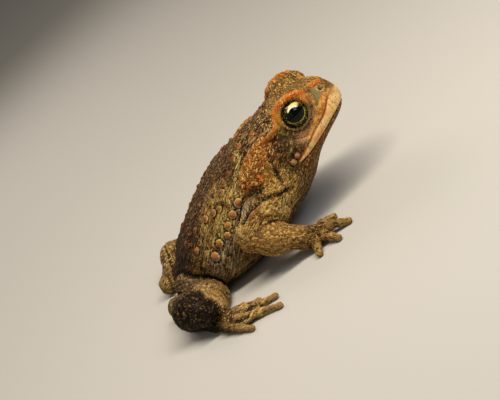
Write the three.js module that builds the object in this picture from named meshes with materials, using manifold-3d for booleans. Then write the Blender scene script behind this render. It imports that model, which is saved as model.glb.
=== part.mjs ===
// A life-size model of a cane toad sitting at rest with its head raised.
// Millimetres. It faces +X, +Y is its left side, +Z is up, and it stands on z = 0.

import * as THREE from 'three';
import { mergeVertices } from 'three/addons/utils/BufferGeometryUtils.js';
import Module from 'manifold-3d';

const wasm = await Module();
wasm.setup();

// Driving sizes

const GAP = 0.3;
const SNOUT_X = 103.6;
const RUMP_X = 3.2;
const SNOUT_ROUND = 9;
const RUMP_ROUND = 14;

// Sections of the body from the rump to the snout: height of the back, of the
// underside and of the widest point, half the width, how square it is above the
// widest point and how square below.
const SECTIONS = [
  { x: 0, top: 12.5, keel: 1, mid: 6, half: 16, square: 2.2, under: 2.3 },
  { x: 8, top: 15.3, keel: 0, mid: 7, half: 19.5, square: 2.2, under: 2.3 },
  { x: 16, top: 21, keel: -0.6, mid: 8.5, half: 23, square: 2.15, under: 2.3 },
  { x: 25, top: 26.7, keel: -1, mid: 10, half: 27, square: 2.1, under: 2.3 },
  { x: 35, top: 32.6, keel: -1, mid: 12, half: 29.5, square: 2.1, under: 2.3 },
  { x: 45, top: 37.5, keel: -0.6, mid: 14.5, half: 29, square: 2.1, under: 2.2 },
  { x: 55, top: 39.8, keel: 1.6, mid: 18, half: 26.5, square: 2.1, under: 2.1 },
  { x: 63, top: 41.2, keel: 4.4, mid: 20.5, half: 23, square: 2.15, under: 2 },
  { x: 71, top: 42.8, keel: 7.2, mid: 23.5, half: 21.2, square: 2.4, under: 1.9 },
  { x: 77, top: 43.9, keel: 10.8, mid: 25.5, half: 20.6, square: 2.65, under: 1.8 },
  { x: 84, top: 44.4, keel: 16.9, mid: 28, half: 18.8, square: 2.9, under: 1.65 },
  { x: 90, top: 43.9, keel: 20.6, mid: 29, half: 16.4, square: 2.6, under: 1.6 },
  { x: 95, top: 42.8, keel: 23.3, mid: 29.8, half: 13.6, square: 2.4, under: 1.7 },
  { x: 99, top: 42, keel: 25, mid: 30.3, half: 11.4, square: 2.5, under: 1.8 },
  { x: 104, top: 41.2, keel: 26.7, mid: 31, half: 9.7, square: 2.5, under: 1.8 },
];

// The joint of head and trunk, and the line of the mouth seen from the side.
const NECK = { x: 71, z: 28, tilt: 0.16 };
const MOUTH = [
  [76.4, 24.2],
  [82, 24.6],
  [88, 25.9],
  [93, 27.4],
  [98, 28.8],
  [108, 29.8],
];
const JAW_INSET = 0.5;

// The lid's dome over each eye: centre and half sizes.
const LID = { at: [87.3, -11.6, 40.1], half: [8.0, 7.9, 7.4] };

// Gland behind each ear and drum of each ear: place seen from the side, the slant
// of the long side, half sizes along, across and outward, and depth under the skin.
const GLAND = { x: 62.4, z: 32.0, slant: 0.75, half: [13.2, 6.9, 4.3], sink: 0.5 };
const DRUM = { x: 75.3, z: 34.4, slant: 1.4, half: [3.9, 3.3, 1.3], sink: 0.9 };

// Eye: centre, radius, and the way it looks (right side; the left is its mirror).
const EYE = { at: [85.1, -11.7, 39.1], radius: 6.4, forward: 0.26, up: 0.2, opening: 5.5 };

// Bony ridges of the right side of the head: points along each with its radius.
const CRESTS = {
  canthal: [
    [93.8, -10.8, 43.4, 1.0],
    [94.8, -6.6, 42.6, 0.9],
    [96.5, -4.3, 42.0, 0.8],
    [98.4, -2.6, 41.3, 0.8],
    [100.0, -1.6, 40.4, 0.8],
  ],
  preorbital: [
    [93.8, -11.6, 43.4, 1.0],
    [94.9, -13.5, 41.4, 0.9],
    [94.6, -14.9, 38.6, 0.8],
    [93.6, -15.2, 36.2, 0.7],
  ],
  supraorbital: [
    [93.9, -11.4, 43.8, 1.1],
    [91.2, -13.6, 45.5, 1.0],
    [87.2, -14.1, 46.9, 1.0],
    [83.2, -13.9, 46.5, 1.0],
    [80.4, -14.0, 44.7, 1.1],
  ],
  postorbital: [
    [80.4, -14.1, 44.6, 1.1],
    [78.4, -15.3, 42.4, 1.0],
    [77.4, -16.3, 40.3, 1.1],
  ],
  supratympanic: [
    [77.2, -16.6, 40.1, 1.2],
    [74.0, -17.0, 39.5, 1.1],
    [70.6, -17.2, 38.7, 1.1],
  ],
};

// Lip: the pale roll along the upper jaw, radius and height above the mouth.
const LIP = {
  radius: 1.0,
  rise: 1.1,
  stations: [78, 82, 86, 90, 94, 97.5, 100, 101.6],
  front: 102.3,
};

// Nostril: place on the snout seen from the side, and half sizes of the pit.
const NOSTRIL = { x: 99.3, z: 39.3, slant: 0.4, half: [1.1, 0.8, 1.4], sink: 0 };

// Roll along the edge of the lids.
const LID_ROLL = { radius: 5.9, thick: 0.8 };

// Limbs of the right side: points along each part with its radius there.
const ARM = {
  upper_arm: [
    [65, -17, 21, 9],
    [56, -26.5, 19.5, 7.8],
    [47.3, -32.5, 17.4, 6.3],
  ],
  forearm: [
    [46.4, -33.2, 16.4, 5.9],
    [53, -36, 12, 5.7],
    [62, -37.5, 6.5, 4.2],
  ],
  paw: {
    base: [
      [62.4, -38, 5.4, 4.1],
      [66.5, -36.6, 3.4, 4.0],
    ],
    digits: [
      { bend: [70, -31, 3.2], tip: [74.5, -27, 1.3] },
      { bend: [73, -37, 3.4], tip: [79.5, -38.8, 1.3] },
      { bend: [69.5, -41, 3.2], tip: [73.5, -46, 1.3] },
      { bend: [65, -41.5, 3.0], tip: [64.5, -47.5, 1.3] },
    ],
    root: 2.0,
    end: 1.35,
  },
};

const LEG = {
  thigh: [
    [12, -15, 7.4, 7.4],
    [17.6, -31, 4.8, 6.9],
    [18, -44, 6.4, 6.4],
  ],
  shank: [
    [17, -47, 8.2, 5.4],
    [10.8, -38, 8.6, 6.8],
    [2.8, -16, 5.2, 4.0],
  ],
  paw: {
    base: [
      [1.2, -16, 4.2, 3.8],
      [8, -33, 3.0, 3.2],
      [17, -47, 2.6, 3.4],
    ],
    digits: [
      { bend: [24, -47.5, 2.4], tip: [29.5, -45, 1.2] },
      { bend: [26.5, -50, 2.6], tip: [36, -49.5, 1.2] },
      { bend: [28, -52.5, 2.8], tip: [43, -55, 1.2] },
      { bend: [27, -56, 2.8], tip: [44, -64, 1.2] },
      { bend: [22, -56, 2.6], tip: [31, -66, 1.2] },
    ],
    root: 2.0,
    end: 1.2,
  },
};

// How far the left limbs are set back from the mirror of the right ones, how much
// nearer and lower the left knee is, and how much slimmer that leg, pressed to the body.
const LEFT_ARM = [-8, 0, 0];
const LEFT_KNEE = [-10.5, 11.5, -4];
const LEFT_SLIM = 0.84;

// Warts of the right side of the trunk as the photo shows them: place along the
// body, angle down from the middle of the back, radius. The left side has the like.
const BIG_WARTS = [
  [49.3, 79, 1.7],
  [44.8, 81, 1.5],
  [40.7, 83, 1.4],
  [38.3, 87, 1.2],
  [33.8, 86, 1.5],
  [29.3, 90, 1.8],
  [55.9, 38, 1.3],
  [51.8, 50, 1.3],
  [48.1, 54, 1.4],
  [45.6, 59, 1.4],
  [41.3, 68, 1.2],
  [38.2, 65, 1.5],
  [34.2, 62, 1.4],
  [23.6, 74, 1.4],
  [67.6, 33, 1.4],
  [60.5, 27, 1.2],
  [27.5, 57, 1.3],
  [20.0, 52, 1.2],
];
const CHEEK_WARTS = [
  [75.0, 26.4, 1.3],
  [77.6, 27.6, 1.2],
];
const SMALL_WARTS = { trunk: 64, gland: 13, limb: 7, head: 7, radius: [0.75, 1.15] };

// How finely each part is divided: rows in an end cap, sides around, rows along.
const TRUNK_GRID = [5, 32, 14];
const HEAD_GRID = [6, 34, 14];
const LIMB_GRID = [3, 13, 5];
const DIGIT_GRID = [2, 7, 3];

const COLOURS = { skin: 0xa08455, parotoid_gland: 0xa8743c, eye: 0x2a2412 };

// Helpers for solids

function welded(geometry) {
  const bare = geometry.clone();
  bare.deleteAttribute('normal');
  bare.deleteAttribute('uv');
  return mergeVertices(bare, 1e-4);
}

function solidOf(geometry) {
  const merged = geometry.attributes.normal ? welded(geometry) : geometry;
  const index = [];
  for (let i = 0; i < merged.index.count; i += 3) {
    const [a, b, c] = [0, 1, 2].map((k) => merged.index.getX(i + k));
    if (a !== b && b !== c && c !== a) index.push(a, b, c);
  }
  return new wasm.Manifold(
    new wasm.Mesh({
      numProp: 3,
      vertProperties: new Float32Array(merged.attributes.position.array),
      triVerts: new Uint32Array(index),
    }),
  );
}

function biggest(solid) {
  return solid.decompose().reduce((a, b) => (b.volume() > a.volume() ? b : a));
}

function geometryOf(solid) {
  const mesh = solid.getMesh();
  const geometry = new THREE.BufferGeometry();
  const points = new Float32Array(mesh.vertProperties);
  geometry.setAttribute('position', new THREE.BufferAttribute(points, 3));
  geometry.setIndex(new THREE.BufferAttribute(new Uint32Array(mesh.triVerts), 1));
  return geometry;
}

function mirrored(solid) {
  const geometry = geometryOf(solid);
  geometry.scale(1, -1, 1);
  const index = geometry.index.array;
  for (let i = 0; i < index.length; i += 3) {
    [index[i], index[i + 1]] = [index[i + 1], index[i]];
  }
  return solidOf(geometry);
}

function without(solid, others) {
  return others.reduce((rest, other) => rest.subtract(other), solid);
}

// Everything on one side of a plane, as a block far larger than the toad.
function beyond(point, normal, distance) {
  const geometry = new THREE.BoxGeometry(200, 200, 200);
  geometry.translate(0, 0, 100 + distance);
  geometry.applyQuaternion(turnTo(normal));
  geometry.translate(point.x, point.y, point.z);
  return solidOf(geometry);
}

function turnTo(direction) {
  return new THREE.Quaternion().setFromUnitVectors(new THREE.Vector3(0, 0, 1), direction);
}

const floorBlock = beyond(new THREE.Vector3(), new THREE.Vector3(0, 0, -1), 0);

// Fields: negative inside, in millimetres

const clamp = THREE.MathUtils.clamp;

function profile(key) {
  const n = SECTIONS.length;
  const slope = SECTIONS.map((s, i) => {
    const a = SECTIONS[Math.max(i - 1, 0)];
    const b = SECTIONS[Math.min(i + 1, n - 1)];
    return (b[key] - a[key]) / (b.x - a.x);
  });
  return (x) => {
    const at = clamp(x, SECTIONS[0].x, SECTIONS[n - 1].x);
    let i = 0;
    while (i < n - 2 && SECTIONS[i + 1].x < at) i += 1;
    const [a, b] = [SECTIONS[i], SECTIONS[i + 1]];
    const width = b.x - a.x;
    const t = (at - a.x) / width;
    const h = t * t * (3 - 2 * t);
    const bend = width * t * (1 - t) * (slope[i] * (1 - t) - slope[i + 1] * t);
    return a[key] * (1 - h) + b[key] * h + bend;
  };
}

const top = profile('top');
const keel = profile('keel');
const mid = profile('mid');
const half = profile('half');
const square = profile('square');
const under = profile('under');

function endRound(x) {
  const front = clamp((x - (SNOUT_X - SNOUT_ROUND)) / SNOUT_ROUND, 0, 1);
  const back = clamp((RUMP_X + RUMP_ROUND - x) / RUMP_ROUND, 0, 1);
  return (1 - front ** 2.6) ** 0.45 * (1 - back ** 2.2) ** 0.5;
}

function bodyField(p) {
  if (p.x >= SNOUT_X || p.x <= RUMP_X) {
    return Math.max(p.x - SNOUT_X, RUMP_X - p.x) + 0.01;
  }
  const round = endRound(p.x);
  const centre = mid(p.x);
  const above = p.z > centre;
  const rise = (above ? top(p.x) - centre : centre - keel(p.x)) * round;
  const power = above ? square(p.x) : under(p.x);
  const dz = p.z - centre;
  const wide = (Math.abs(p.y) / (half(p.x) * round + 1e-6)) ** power;
  const high = (Math.abs(dz) / (rise + 1e-6)) ** power;
  const norm = (wide + high) ** (1 / power);
  const reach = Math.hypot(p.y, dz);
  return norm < 1e-9 ? -rise : reach - reach / norm;
}

function blend(a, b, k) {
  const h = Math.max(k - Math.abs(a - b), 0) / k;
  return Math.min(a, b) - (h * h * k) / 4;
}

function ovalField(p, { at, half: size }, side) {
  const [x, y, z] = [p.x - at[0], p.y - at[1] * side, p.z - at[2]];
  const near = Math.hypot(x / size[0], y / size[1], z / size[2]);
  const slope = Math.hypot(x / size[0] ** 2, y / size[1] ** 2, z / size[2] ** 2);
  return (near * (near - 1)) / Math.max(slope, 1e-9);
}

function headField(p) {
  const lids = Math.min(ovalField(p, LID, 1), ovalField(p, LID, -1));
  return blend(bodyField(p), lids, 2);
}

function coneField(p, a, b) {
  const ab = new THREE.Vector3(b[0] - a[0], b[1] - a[1], b[2] - a[2]);
  const ap = new THREE.Vector3(p.x - a[0], p.y - a[1], p.z - a[2]);
  const t = clamp(ap.dot(ab) / ab.lengthSq(), 0, 1);
  return ap.addScaledVector(ab, -t).length() - THREE.MathUtils.lerp(a[3], b[3], t);
}

function chainField(points, k = 4) {
  return (p) => {
    let value = coneField(p, points[0], points[1]);
    for (let i = 1; i < points.length - 1; i += 1) {
      value = blend(value, coneField(p, points[i], points[i + 1]), k);
    }
    return value;
  };
}

const mirror = (field) => (p) => field(new THREE.Vector3(p.x, -p.y, p.z));

// Where a ray from inside a field meets its surface
function meet(from, ray, field) {
  const probe = new THREE.Vector3();
  const value = (r) => field(probe.copy(from).addScaledVector(ray, r));
  let far = 0.4;
  while (value(far) < 0 && far < 80) far += 0.4;
  let near = far - 0.4;
  for (let k = 0; k < 18; k += 1) {
    const middle = (near + far) / 2;
    if (value(middle) < 0) near = middle;
    else far = middle;
  }
  return new THREE.Vector3().copy(from).addScaledVector(ray, far);
}

function facing(at, field) {
  const slope = ['x', 'y', 'z'].map((axis) => {
    const [a, b] = [at.clone(), at.clone()];
    a[axis] += 0.4;
    b[axis] -= 0.4;
    return field(a) - field(b);
  });
  return new THREE.Vector3(...slope).normalize();
}

// A capsule laid along a line and drawn out, ray by ray, onto a field
function wrap(points, field, [caps, around, along], grow = 0) {
  const curve = new THREE.CatmullRomCurve3(points.map(([x, y, z]) => new THREE.Vector3(x, y, z)));
  const geometry = welded(new THREE.CapsuleGeometry(1, 2, caps, around, along));
  const position = geometry.attributes.position;
  const grownField = (p) => field(p) - grow;
  for (let i = 0; i < position.count; i += 1) {
    const height = clamp(position.getY(i), -1, 1);
    const at = curve.getPointAt((height + 1) / 2);
    const tangent = curve.getTangentAt((height + 1) / 2);
    const side = new THREE.Vector3(0, 0, 1).cross(tangent).normalize();
    const up = new THREE.Vector3().crossVectors(tangent, side);
    const ray = new THREE.Vector3()
      .addScaledVector(up, position.getX(i))
      .addScaledVector(tangent, position.getY(i) - height)
      .addScaledVector(side, position.getZ(i))
      .normalize();
    position.setXYZ(i, ...meet(at, ray, grownField).toArray());
  }
  return solidOf(geometry);
}

function limb(points, grid, grow = 0, k = 4) {
  return wrap(points, chainField(points, k), grid, grow);
}

// Warts

// Numbers that scatter evenly and come out the same every time
function scatter(seed) {
  let state = seed;
  return (low = 0, high = 1) => {
    state = (state * 16807) % 2147483647;
    return low + ((high - low) * state) / 2147483647;
  };
}

// A wart is a low faceted dome with its root sunk in the skin.
function wart(at, out, radius, turn) {
  const big = radius > SMALL_WARTS.radius[1];
  const geometry = big
    ? new THREE.IcosahedronGeometry(radius, 0)
    : new THREE.OctahedronGeometry(radius, 0);
  geometry.rotateZ(turn);
  geometry.scale(1, 1, 0.8);
  geometry.applyQuaternion(turnTo(out));
  geometry.translate(...at.clone().addScaledVector(out, -0.2 * radius).toArray());
  return solidOf(geometry);
}

// Warts along rays from inside a solid, clear of the floor and of other parts
function warted(solid, rays, field, others, random) {
  const placed = [];
  for (const { from, ray, radius } of rays) {
    const at = meet(from, ray, field);
    const close = placed.some((p) => p.at.distanceTo(at) < (p.radius + radius) * 1.2);
    const blocked = at.z < radius + 1 || others.some((other) => other(at) < radius + 0.8);
    if (!close && !blocked) placed.push({ at, radius });
  }
  const domes = placed.map(({ at, radius }) =>
    wart(at, facing(at, field), radius, random(0, 3)),
  );
  return domes.reduce((whole, dome) => whole.add(dome), solid);
}

// Trunk and head come from one field and part at the neck.

const axisHeight = (x) => 0.45 * top(x) + 0.35 * mid(x) + 0.2 * keel(x);

function bodyAxis(x0, x1, steps) {
  return Array.from({ length: steps + 1 }, (_, i) => {
    const x = x0 + ((x1 - x0) * i) / steps;
    return [x, 0, axisHeight(x)];
  });
}

const trunkShape = (grow = 0) => wrap(bodyAxis(12, 76, 8), bodyField, TRUNK_GRID, grow);
const headShape = (grow = 0) => wrap(bodyAxis(66, 94, 6), headField, HEAD_GRID, grow);

const neckPoint = new THREE.Vector3(NECK.x, 0, NECK.z);
const neckNormal = new THREE.Vector3(Math.cos(NECK.tilt), 0, Math.sin(NECK.tilt));
const neckField = (p) => neckNormal.dot(neckPoint) - neckNormal.dot(p);
const aheadOfNeck = beyond(neckPoint, neckNormal, 0);
const behindNeck = beyond(neckPoint, neckNormal.clone().negate(), -GAP);

function sidePoint(x, z) {
  const at = meet(new THREE.Vector3(x, 0, z), new THREE.Vector3(0, -1, 0), headField);
  return { at, out: facing(at, headField) };
}

// A cushion seated on the skin: its long side slants up towards the snout.
function cushion({ x, z, slant, half: size, sink }, detail, grow = 0) {
  const { at, out } = sidePoint(x, z);
  const along = new THREE.Vector3(Math.cos(slant), 0, Math.sin(slant));
  along.addScaledVector(out, -along.dot(out)).normalize();
  const across = new THREE.Vector3().crossVectors(out, along);
  const geometry = new THREE.IcosahedronGeometry(1, detail);
  geometry.scale(...size.map((s) => s + grow));
  geometry.applyMatrix4(new THREE.Matrix4().makeBasis(along, across, out));
  geometry.translate(...at.addScaledVector(out, -sink).toArray());
  return solidOf(geometry);
}

const trunkGrown = trunkShape(GAP);
const headGrown = headShape(GAP);
const glandGrown = cushion(GLAND, 2, GAP);

function glandField(p) {
  const { at, out } = sidePoint(GLAND.x, GLAND.z);
  return p.distanceTo(at.addScaledVector(out, -GLAND.sink)) - GLAND.half[0] * 0.85;
}

function across(x, degrees) {
  const angle = THREE.MathUtils.degToRad(degrees);
  const from = new THREE.Vector3(x, 0, axisHeight(x));
  return { from, ray: new THREE.Vector3(0, -Math.sin(angle), Math.cos(angle)) };
}

function trunkNode(others) {
  const random = scatter(7);
  const rays = [];
  for (const [x, angle, radius] of BIG_WARTS) {
    rays.push({ ...across(x, angle), radius });
    rays.push({ ...across(x + random(-1.5, 1.5), -angle + random(-4, 4)), radius });
  }
  for (let i = 0; i < SMALL_WARTS.trunk; i += 1) {
    const place = across(random(9, 68), random(-108, 108));
    rays.push({ ...place, radius: random(...SMALL_WARTS.radius) });
  }
  const solid = warted(trunkShape(), rays, bodyField, [...others, neckField], random);
  return biggest(without(solid, [aheadOfNeck, floorBlock]));
}

// Mouth and jaws

const mouthLine = new THREE.SplineCurve(MOUTH.map((p) => new THREE.Vector2(...p)));

function mouthHeight(x) {
  return mouthLine.getPoints(80).find((p) => p.x >= x).y;
}

function jawBlock(shift) {
  const line = mouthLine.getPoints(12);
  const shape = new THREE.Shape(line.map((p) => new THREE.Vector2(p.x, p.y + shift)));
  const [first, last] = [MOUTH[0], MOUTH[MOUTH.length - 1]];
  shape.lineTo(last[0], -5);
  shape.lineTo(first[0] - shift, -5);
  shape.lineTo(first[0] - shift, first[1] + shift);
  const geometry = new THREE.ExtrudeGeometry(shape, { depth: 100, bevelEnabled: false });
  geometry.rotateX(Math.PI / 2);
  geometry.translate(0, 50, 0);
  return solidOf(geometry);
}

// The lip runs round the snout from one corner of the mouth to the other.
function lipRoll() {
  const right = LIP.stations.map((x, i) => {
    const z = mouthHeight(x) + LIP.rise;
    return [x, sidePoint(x, z).at.y + 0.35, z, LIP.radius * (i === 0 ? 0.7 : 1)];
  });
  const front = [LIP.front, 0, mouthHeight(LIP.front) + LIP.rise, LIP.radius];
  const left = right.map(([x, y, z, r]) => [x, -y, z, r]).reverse();
  return limb([...right, front, ...left], [1, 5, 24], 0, 0.5);
}

// Eyes and lids

const eyeAxis = new THREE.Vector3(
  Math.sin(EYE.forward) * Math.cos(EYE.up),
  -Math.cos(EYE.forward) * Math.cos(EYE.up),
  Math.sin(EYE.up),
);

function atEye(geometry, along) {
  geometry.translate(0, 0, along);
  geometry.applyQuaternion(turnTo(eyeAxis));
  geometry.translate(...EYE.at);
  return solidOf(geometry);
}

const eyeBall = (radius) => atEye(new THREE.SphereGeometry(radius, 16, 10), 0);

function eyeOpening() {
  const wide = EYE.opening + 1.2;
  const geometry = new THREE.CylinderGeometry(wide, EYE.opening - 0.6, 10, 20);
  geometry.rotateX(Math.PI / 2);
  return atEye(geometry, 7.5);
}

function lidRoll() {
  const { radius, thick } = LID_ROLL;
  const along = Math.sqrt((EYE.radius + GAP) ** 2 - radius ** 2) + thick * 0.6;
  return atEye(new THREE.TorusGeometry(radius, thick, 5, 18), along);
}

// Head

function headNode() {
  const random = scatter(23);
  const bothSides = (solids) => solids.flatMap((solid) => [solid, mirrored(solid)]);
  const crests = Object.values(CRESTS).map((crest) => limb(crest, [1, 5, 5], 0, 0.5));
  const rays = [];
  for (const side of [1, -1]) {
    for (const [x, z, radius] of CHEEK_WARTS) {
      rays.push({ from: new THREE.Vector3(x, 0, z), ray: new THREE.Vector3(0, -side, 0), radius });
    }
    for (let i = 0; i < SMALL_WARTS.head; i += 1) {
      const place = across(random(74, 91), side * random(0, 50));
      rays.push({ ...place, radius: random(...SMALL_WARTS.radius) });
    }
  }
  const others = Object.values(CRESTS).map((crest) => chainField(crest));
  others.push((p) => -neckField(p));
  const skin = warted(
    without(headShape(), bothSides([eyeOpening()])),
    rays,
    headField,
    [...others, ...others.map(mirror)],
    random,
  );
  const raised = bothSides([lidRoll(), ...crests]).reduce((a, b) => a.add(b), skin);
  const hollows = [eyeBall(EYE.radius + GAP), cushion(NOSTRIL, 1), cushion(DRUM, 1, GAP)];
  const head = without(raised.add(lipRoll()), bothSides(hollows));
  return biggest(without(head, [...bothSides([glandGrown]), behindNeck, jawBlock(GAP)]));
}

// Limbs

function digitChain(base, { bend, tip }, { root, end }) {
  return [[...base.slice(0, 3), root * 1.1], [...bend, root], [...tip, end]];
}

function pawShape(paw) {
  const palm = paw.base[paw.base.length - 1];
  const digits = paw.digits.map((digit) => limb(digitChain(palm, digit, paw), DIGIT_GRID));
  return digits.reduce((a, b) => a.add(b), limb(paw.base, [3, 10, 2 * paw.base.length - 1]));
}

function trimmed(solid, neighbours) {
  return biggest(without(solid, [...neighbours, floorBlock]));
}

// The cut across a joint: a plane halfway between the directions of two bones.
function joint(first, second) {
  const [a, b] = first.slice(-2).map(([x, y, z]) => new THREE.Vector3(x, y, z));
  const [c, d] = second.slice(0, 2).map(([x, y, z]) => new THREE.Vector3(x, y, z));
  const normal = b.clone().sub(a).normalize().add(d.clone().sub(c).normalize()).normalize();
  const point = b.clone().add(c).multiplyScalar(0.5);
  return {
    after: beyond(point, normal, -GAP / 2),
    before: beyond(point, normal.clone().negate(), -GAP / 2),
  };
}

function wartedLimb(points, others, seed) {
  const random = scatter(seed);
  const curve = new THREE.CatmullRomCurve3(points.map(([x, y, z]) => new THREE.Vector3(x, y, z)));
  const rays = Array.from({ length: SMALL_WARTS.limb }, () => ({
    from: curve.getPointAt(random(0.15, 0.85)),
    ray: new THREE.Vector3(random(-1, 1), random(-1, 0.4), random(0, 1)).normalize(),
    radius: random(...SMALL_WARTS.radius),
  }));
  return warted(limb(points, LIMB_GRID), rays, chainField(points), others, random);
}

function armNodes({ upper_arm, forearm, paw }, seed) {
  const [elbow, wrist] = [joint(upper_arm, forearm), joint(forearm, paw.base)];
  const [upper, fore, palm] = [upper_arm, forearm, paw.base].map((c) => chainField(c));
  const body = [bodyField, headField, glandField];
  return {
    upper_arm: trimmed(wartedLimb(upper_arm, [...body, fore], seed), [
      trunkGrown,
      headGrown,
      glandGrown,
      elbow.after,
    ]),
    forearm: trimmed(wartedLimb(forearm, [...body, upper, palm], seed + 1), [
      trunkGrown,
      elbow.before,
      wrist.after,
    ]),
    hand: trimmed(pawShape(paw), [wrist.before]),
  };
}

function legNodes({ thigh, shank, paw }, seed) {
  const knee = joint(thigh, shank);
  const [above, below, sole] = [thigh, shank, paw.base].map((c) => chainField(c));
  const leg = limb(thigh, LIMB_GRID, GAP).add(limb(shank, LIMB_GRID, GAP));
  return {
    thigh: trimmed(wartedLimb(thigh, [bodyField, below, sole], seed), [trunkGrown, knee.after]),
    shank: trimmed(wartedLimb(shank, [bodyField, above, sole], seed + 1), [
      trunkGrown,
      knee.before,
    ]),
    foot: trimmed(pawShape(paw), [trunkGrown, leg]),
  };
}

function glandNode(upperArm, seed) {
  const random = scatter(seed);
  const { at, out } = sidePoint(GLAND.x, GLAND.z);
  const from = at.clone().addScaledVector(out, -GLAND.sink);
  const along = new THREE.Vector3(Math.cos(GLAND.slant), 0, Math.sin(GLAND.slant));
  const size = GLAND.half;
  const rays = Array.from({ length: SMALL_WARTS.gland }, () => ({
    from,
    ray: out
      .clone()
      .multiplyScalar(size[2])
      .addScaledVector(along, random(-0.8, 0.8) * size[0])
      .addScaledVector(new THREE.Vector3().crossVectors(out, along), random(-0.7, 0.7) * size[1])
      .normalize(),
    radius: random(...SMALL_WARTS.radius),
  }));
  const field = (p) => glandSurface(p, from, along, out);
  const others = [bodyField, chainField(CRESTS.supratympanic), chainField(upperArm)];
  const solid = warted(cushion(GLAND, 2), rays, field, others, random);
  return trimmed(solid, [trunkGrown, headGrown]);
}

function glandSurface(p, centre, slant, out) {
  const along = slant.clone().addScaledVector(out, -slant.dot(out)).normalize();
  const side = new THREE.Vector3().crossVectors(out, along);
  const from = p.clone().sub(centre);
  const scaled = [along, side, out].map((axis, i) => from.dot(axis) / GLAND.half[i]);
  return (Math.hypot(...scaled) - 1) * GLAND.half[2];
}

// Left limbs, as moved copies of the right ones

function moved(points, shift, start = 1, end = 1, slim = 1) {
  return points.map(([x, y, z, ...radius], i) => {
    const share = start + ((end - start) * i) / (points.length - 1);
    const at = [x + shift[0] * share, y + shift[1] * share, z + shift[2] * share];
    return [...at, ...radius.map((r) => r * slim)];
  });
}

function pawMoved(paw, [x, y], start = 1) {
  const digits = paw.digits.map(({ bend, tip }) => {
    const [a, b] = moved([bend, tip], [x, y, 0]);
    return { bend: a, tip: b };
  });
  return { ...paw, base: moved(paw.base, [x, y, 0], start, 1), digits };
}

const leftArm = {
  upper_arm: moved(ARM.upper_arm, LEFT_ARM, 0, 0.5),
  forearm: moved(ARM.forearm, LEFT_ARM, 0.5, 1),
  paw: pawMoved(ARM.paw, LEFT_ARM),
};
const leftLeg = {
  thigh: moved(LEG.thigh, LEFT_KNEE, 0, 1, LEFT_SLIM),
  shank: moved(LEG.shank, LEFT_KNEE, 1, 0.4, LEFT_SLIM),
  paw: pawMoved(LEG.paw, LEFT_KNEE, 0.4),
};

// Assembly

const limbChains = (arm, leg) =>
  [arm.upper_arm, arm.forearm, leg.thigh, leg.shank, leg.paw.base].map((c) => chainField(c));
const besideTrunk = [
  glandField,
  mirror(glandField),
  ...limbChains(ARM, LEG),
  ...limbChains(leftArm, leftLeg).map(mirror),
];

const rightNodes = {
  eye: eyeBall(EYE.radius),
  tympanum: cushion(DRUM, 1),
  parotoid_gland: glandNode(ARM.upper_arm, 31),
  ...armNodes(ARM, 41),
  ...legNodes(LEG, 51),
};
const leftNodes = {
  ...rightNodes,
  parotoid_gland: glandNode(leftArm.upper_arm, 61),
  ...armNodes(leftArm, 71),
  ...legNodes(leftLeg, 81),
};

const toad = new THREE.Group();
toad.name = 'cane_toad_model';

function addNode(name, solid) {
  const part = Object.keys(COLOURS).find((key) => name.startsWith(key)) ?? 'skin';
  const material = new THREE.MeshStandardMaterial({ color: COLOURS[part], roughness: 0.6 });
  const mesh = new THREE.Mesh(geometryOf(solid), material);
  mesh.name = name;
  toad.add(mesh);
}

addNode('torso', trunkNode(besideTrunk));
addNode('head', headNode());
addNode('lower_jaw', biggest(headShape(-JAW_INSET).intersect(jawBlock(0))));
for (const name of Object.keys(rightNodes)) {
  addNode(`${name}_right`, rightNodes[name]);
  addNode(`${name}_left`, mirrored(leftNodes[name]));
}

// The origin is moved to the middle of the footprint.
const bounds = new THREE.Box3().setFromObject(toad);
const centre = bounds.getCenter(new THREE.Vector3());
for (const mesh of toad.children) mesh.geometry.translate(-centre.x, -centre.y, 0);

export default toad;
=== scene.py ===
# %% [markdown]
# # A cane toad, life size, as a museum shows it
# An adult cane toad sits with its chest raised and its hind legs folded. The solid parts come packed in
# one frame. This lesson puts one warty skin over all the parts of flesh, sets two wet eyes in it, and
# lights it on a plain pale floor. Sizes are in millimetres until a mesh is made, and metres after that.

import bpy
import numpy as np
from mathutils import Matrix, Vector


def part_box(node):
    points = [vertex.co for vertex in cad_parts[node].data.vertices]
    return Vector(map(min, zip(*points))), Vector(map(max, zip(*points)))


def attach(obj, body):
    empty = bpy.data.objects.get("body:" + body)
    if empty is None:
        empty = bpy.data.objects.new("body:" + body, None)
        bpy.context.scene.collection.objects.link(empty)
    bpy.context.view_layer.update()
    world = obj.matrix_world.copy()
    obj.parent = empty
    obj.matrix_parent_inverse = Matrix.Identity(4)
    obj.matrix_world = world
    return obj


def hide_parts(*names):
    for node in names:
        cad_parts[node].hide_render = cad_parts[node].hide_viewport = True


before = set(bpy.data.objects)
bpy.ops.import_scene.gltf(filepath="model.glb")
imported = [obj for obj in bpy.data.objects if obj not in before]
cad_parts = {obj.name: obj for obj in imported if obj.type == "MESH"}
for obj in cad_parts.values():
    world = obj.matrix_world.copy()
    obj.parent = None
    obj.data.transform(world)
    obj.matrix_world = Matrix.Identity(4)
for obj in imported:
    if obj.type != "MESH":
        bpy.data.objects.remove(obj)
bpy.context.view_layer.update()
FLESH = sorted(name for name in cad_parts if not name.startswith("eye"))
print("solid parts:", len(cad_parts), "of flesh:", len(FLESH))

# %% [markdown]
# ## Where the drawing lies in the frame
# The toad is drawn in millimetres with its rump near x = 0, its middle on y = 0 and its feet on z = 0.
# The frame has its origin in the middle of the footprint. The right eye is a plain ball whose centre is
# known in both, so the step from one to the other is measured there, and nothing has to be fitted by hand.

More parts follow.
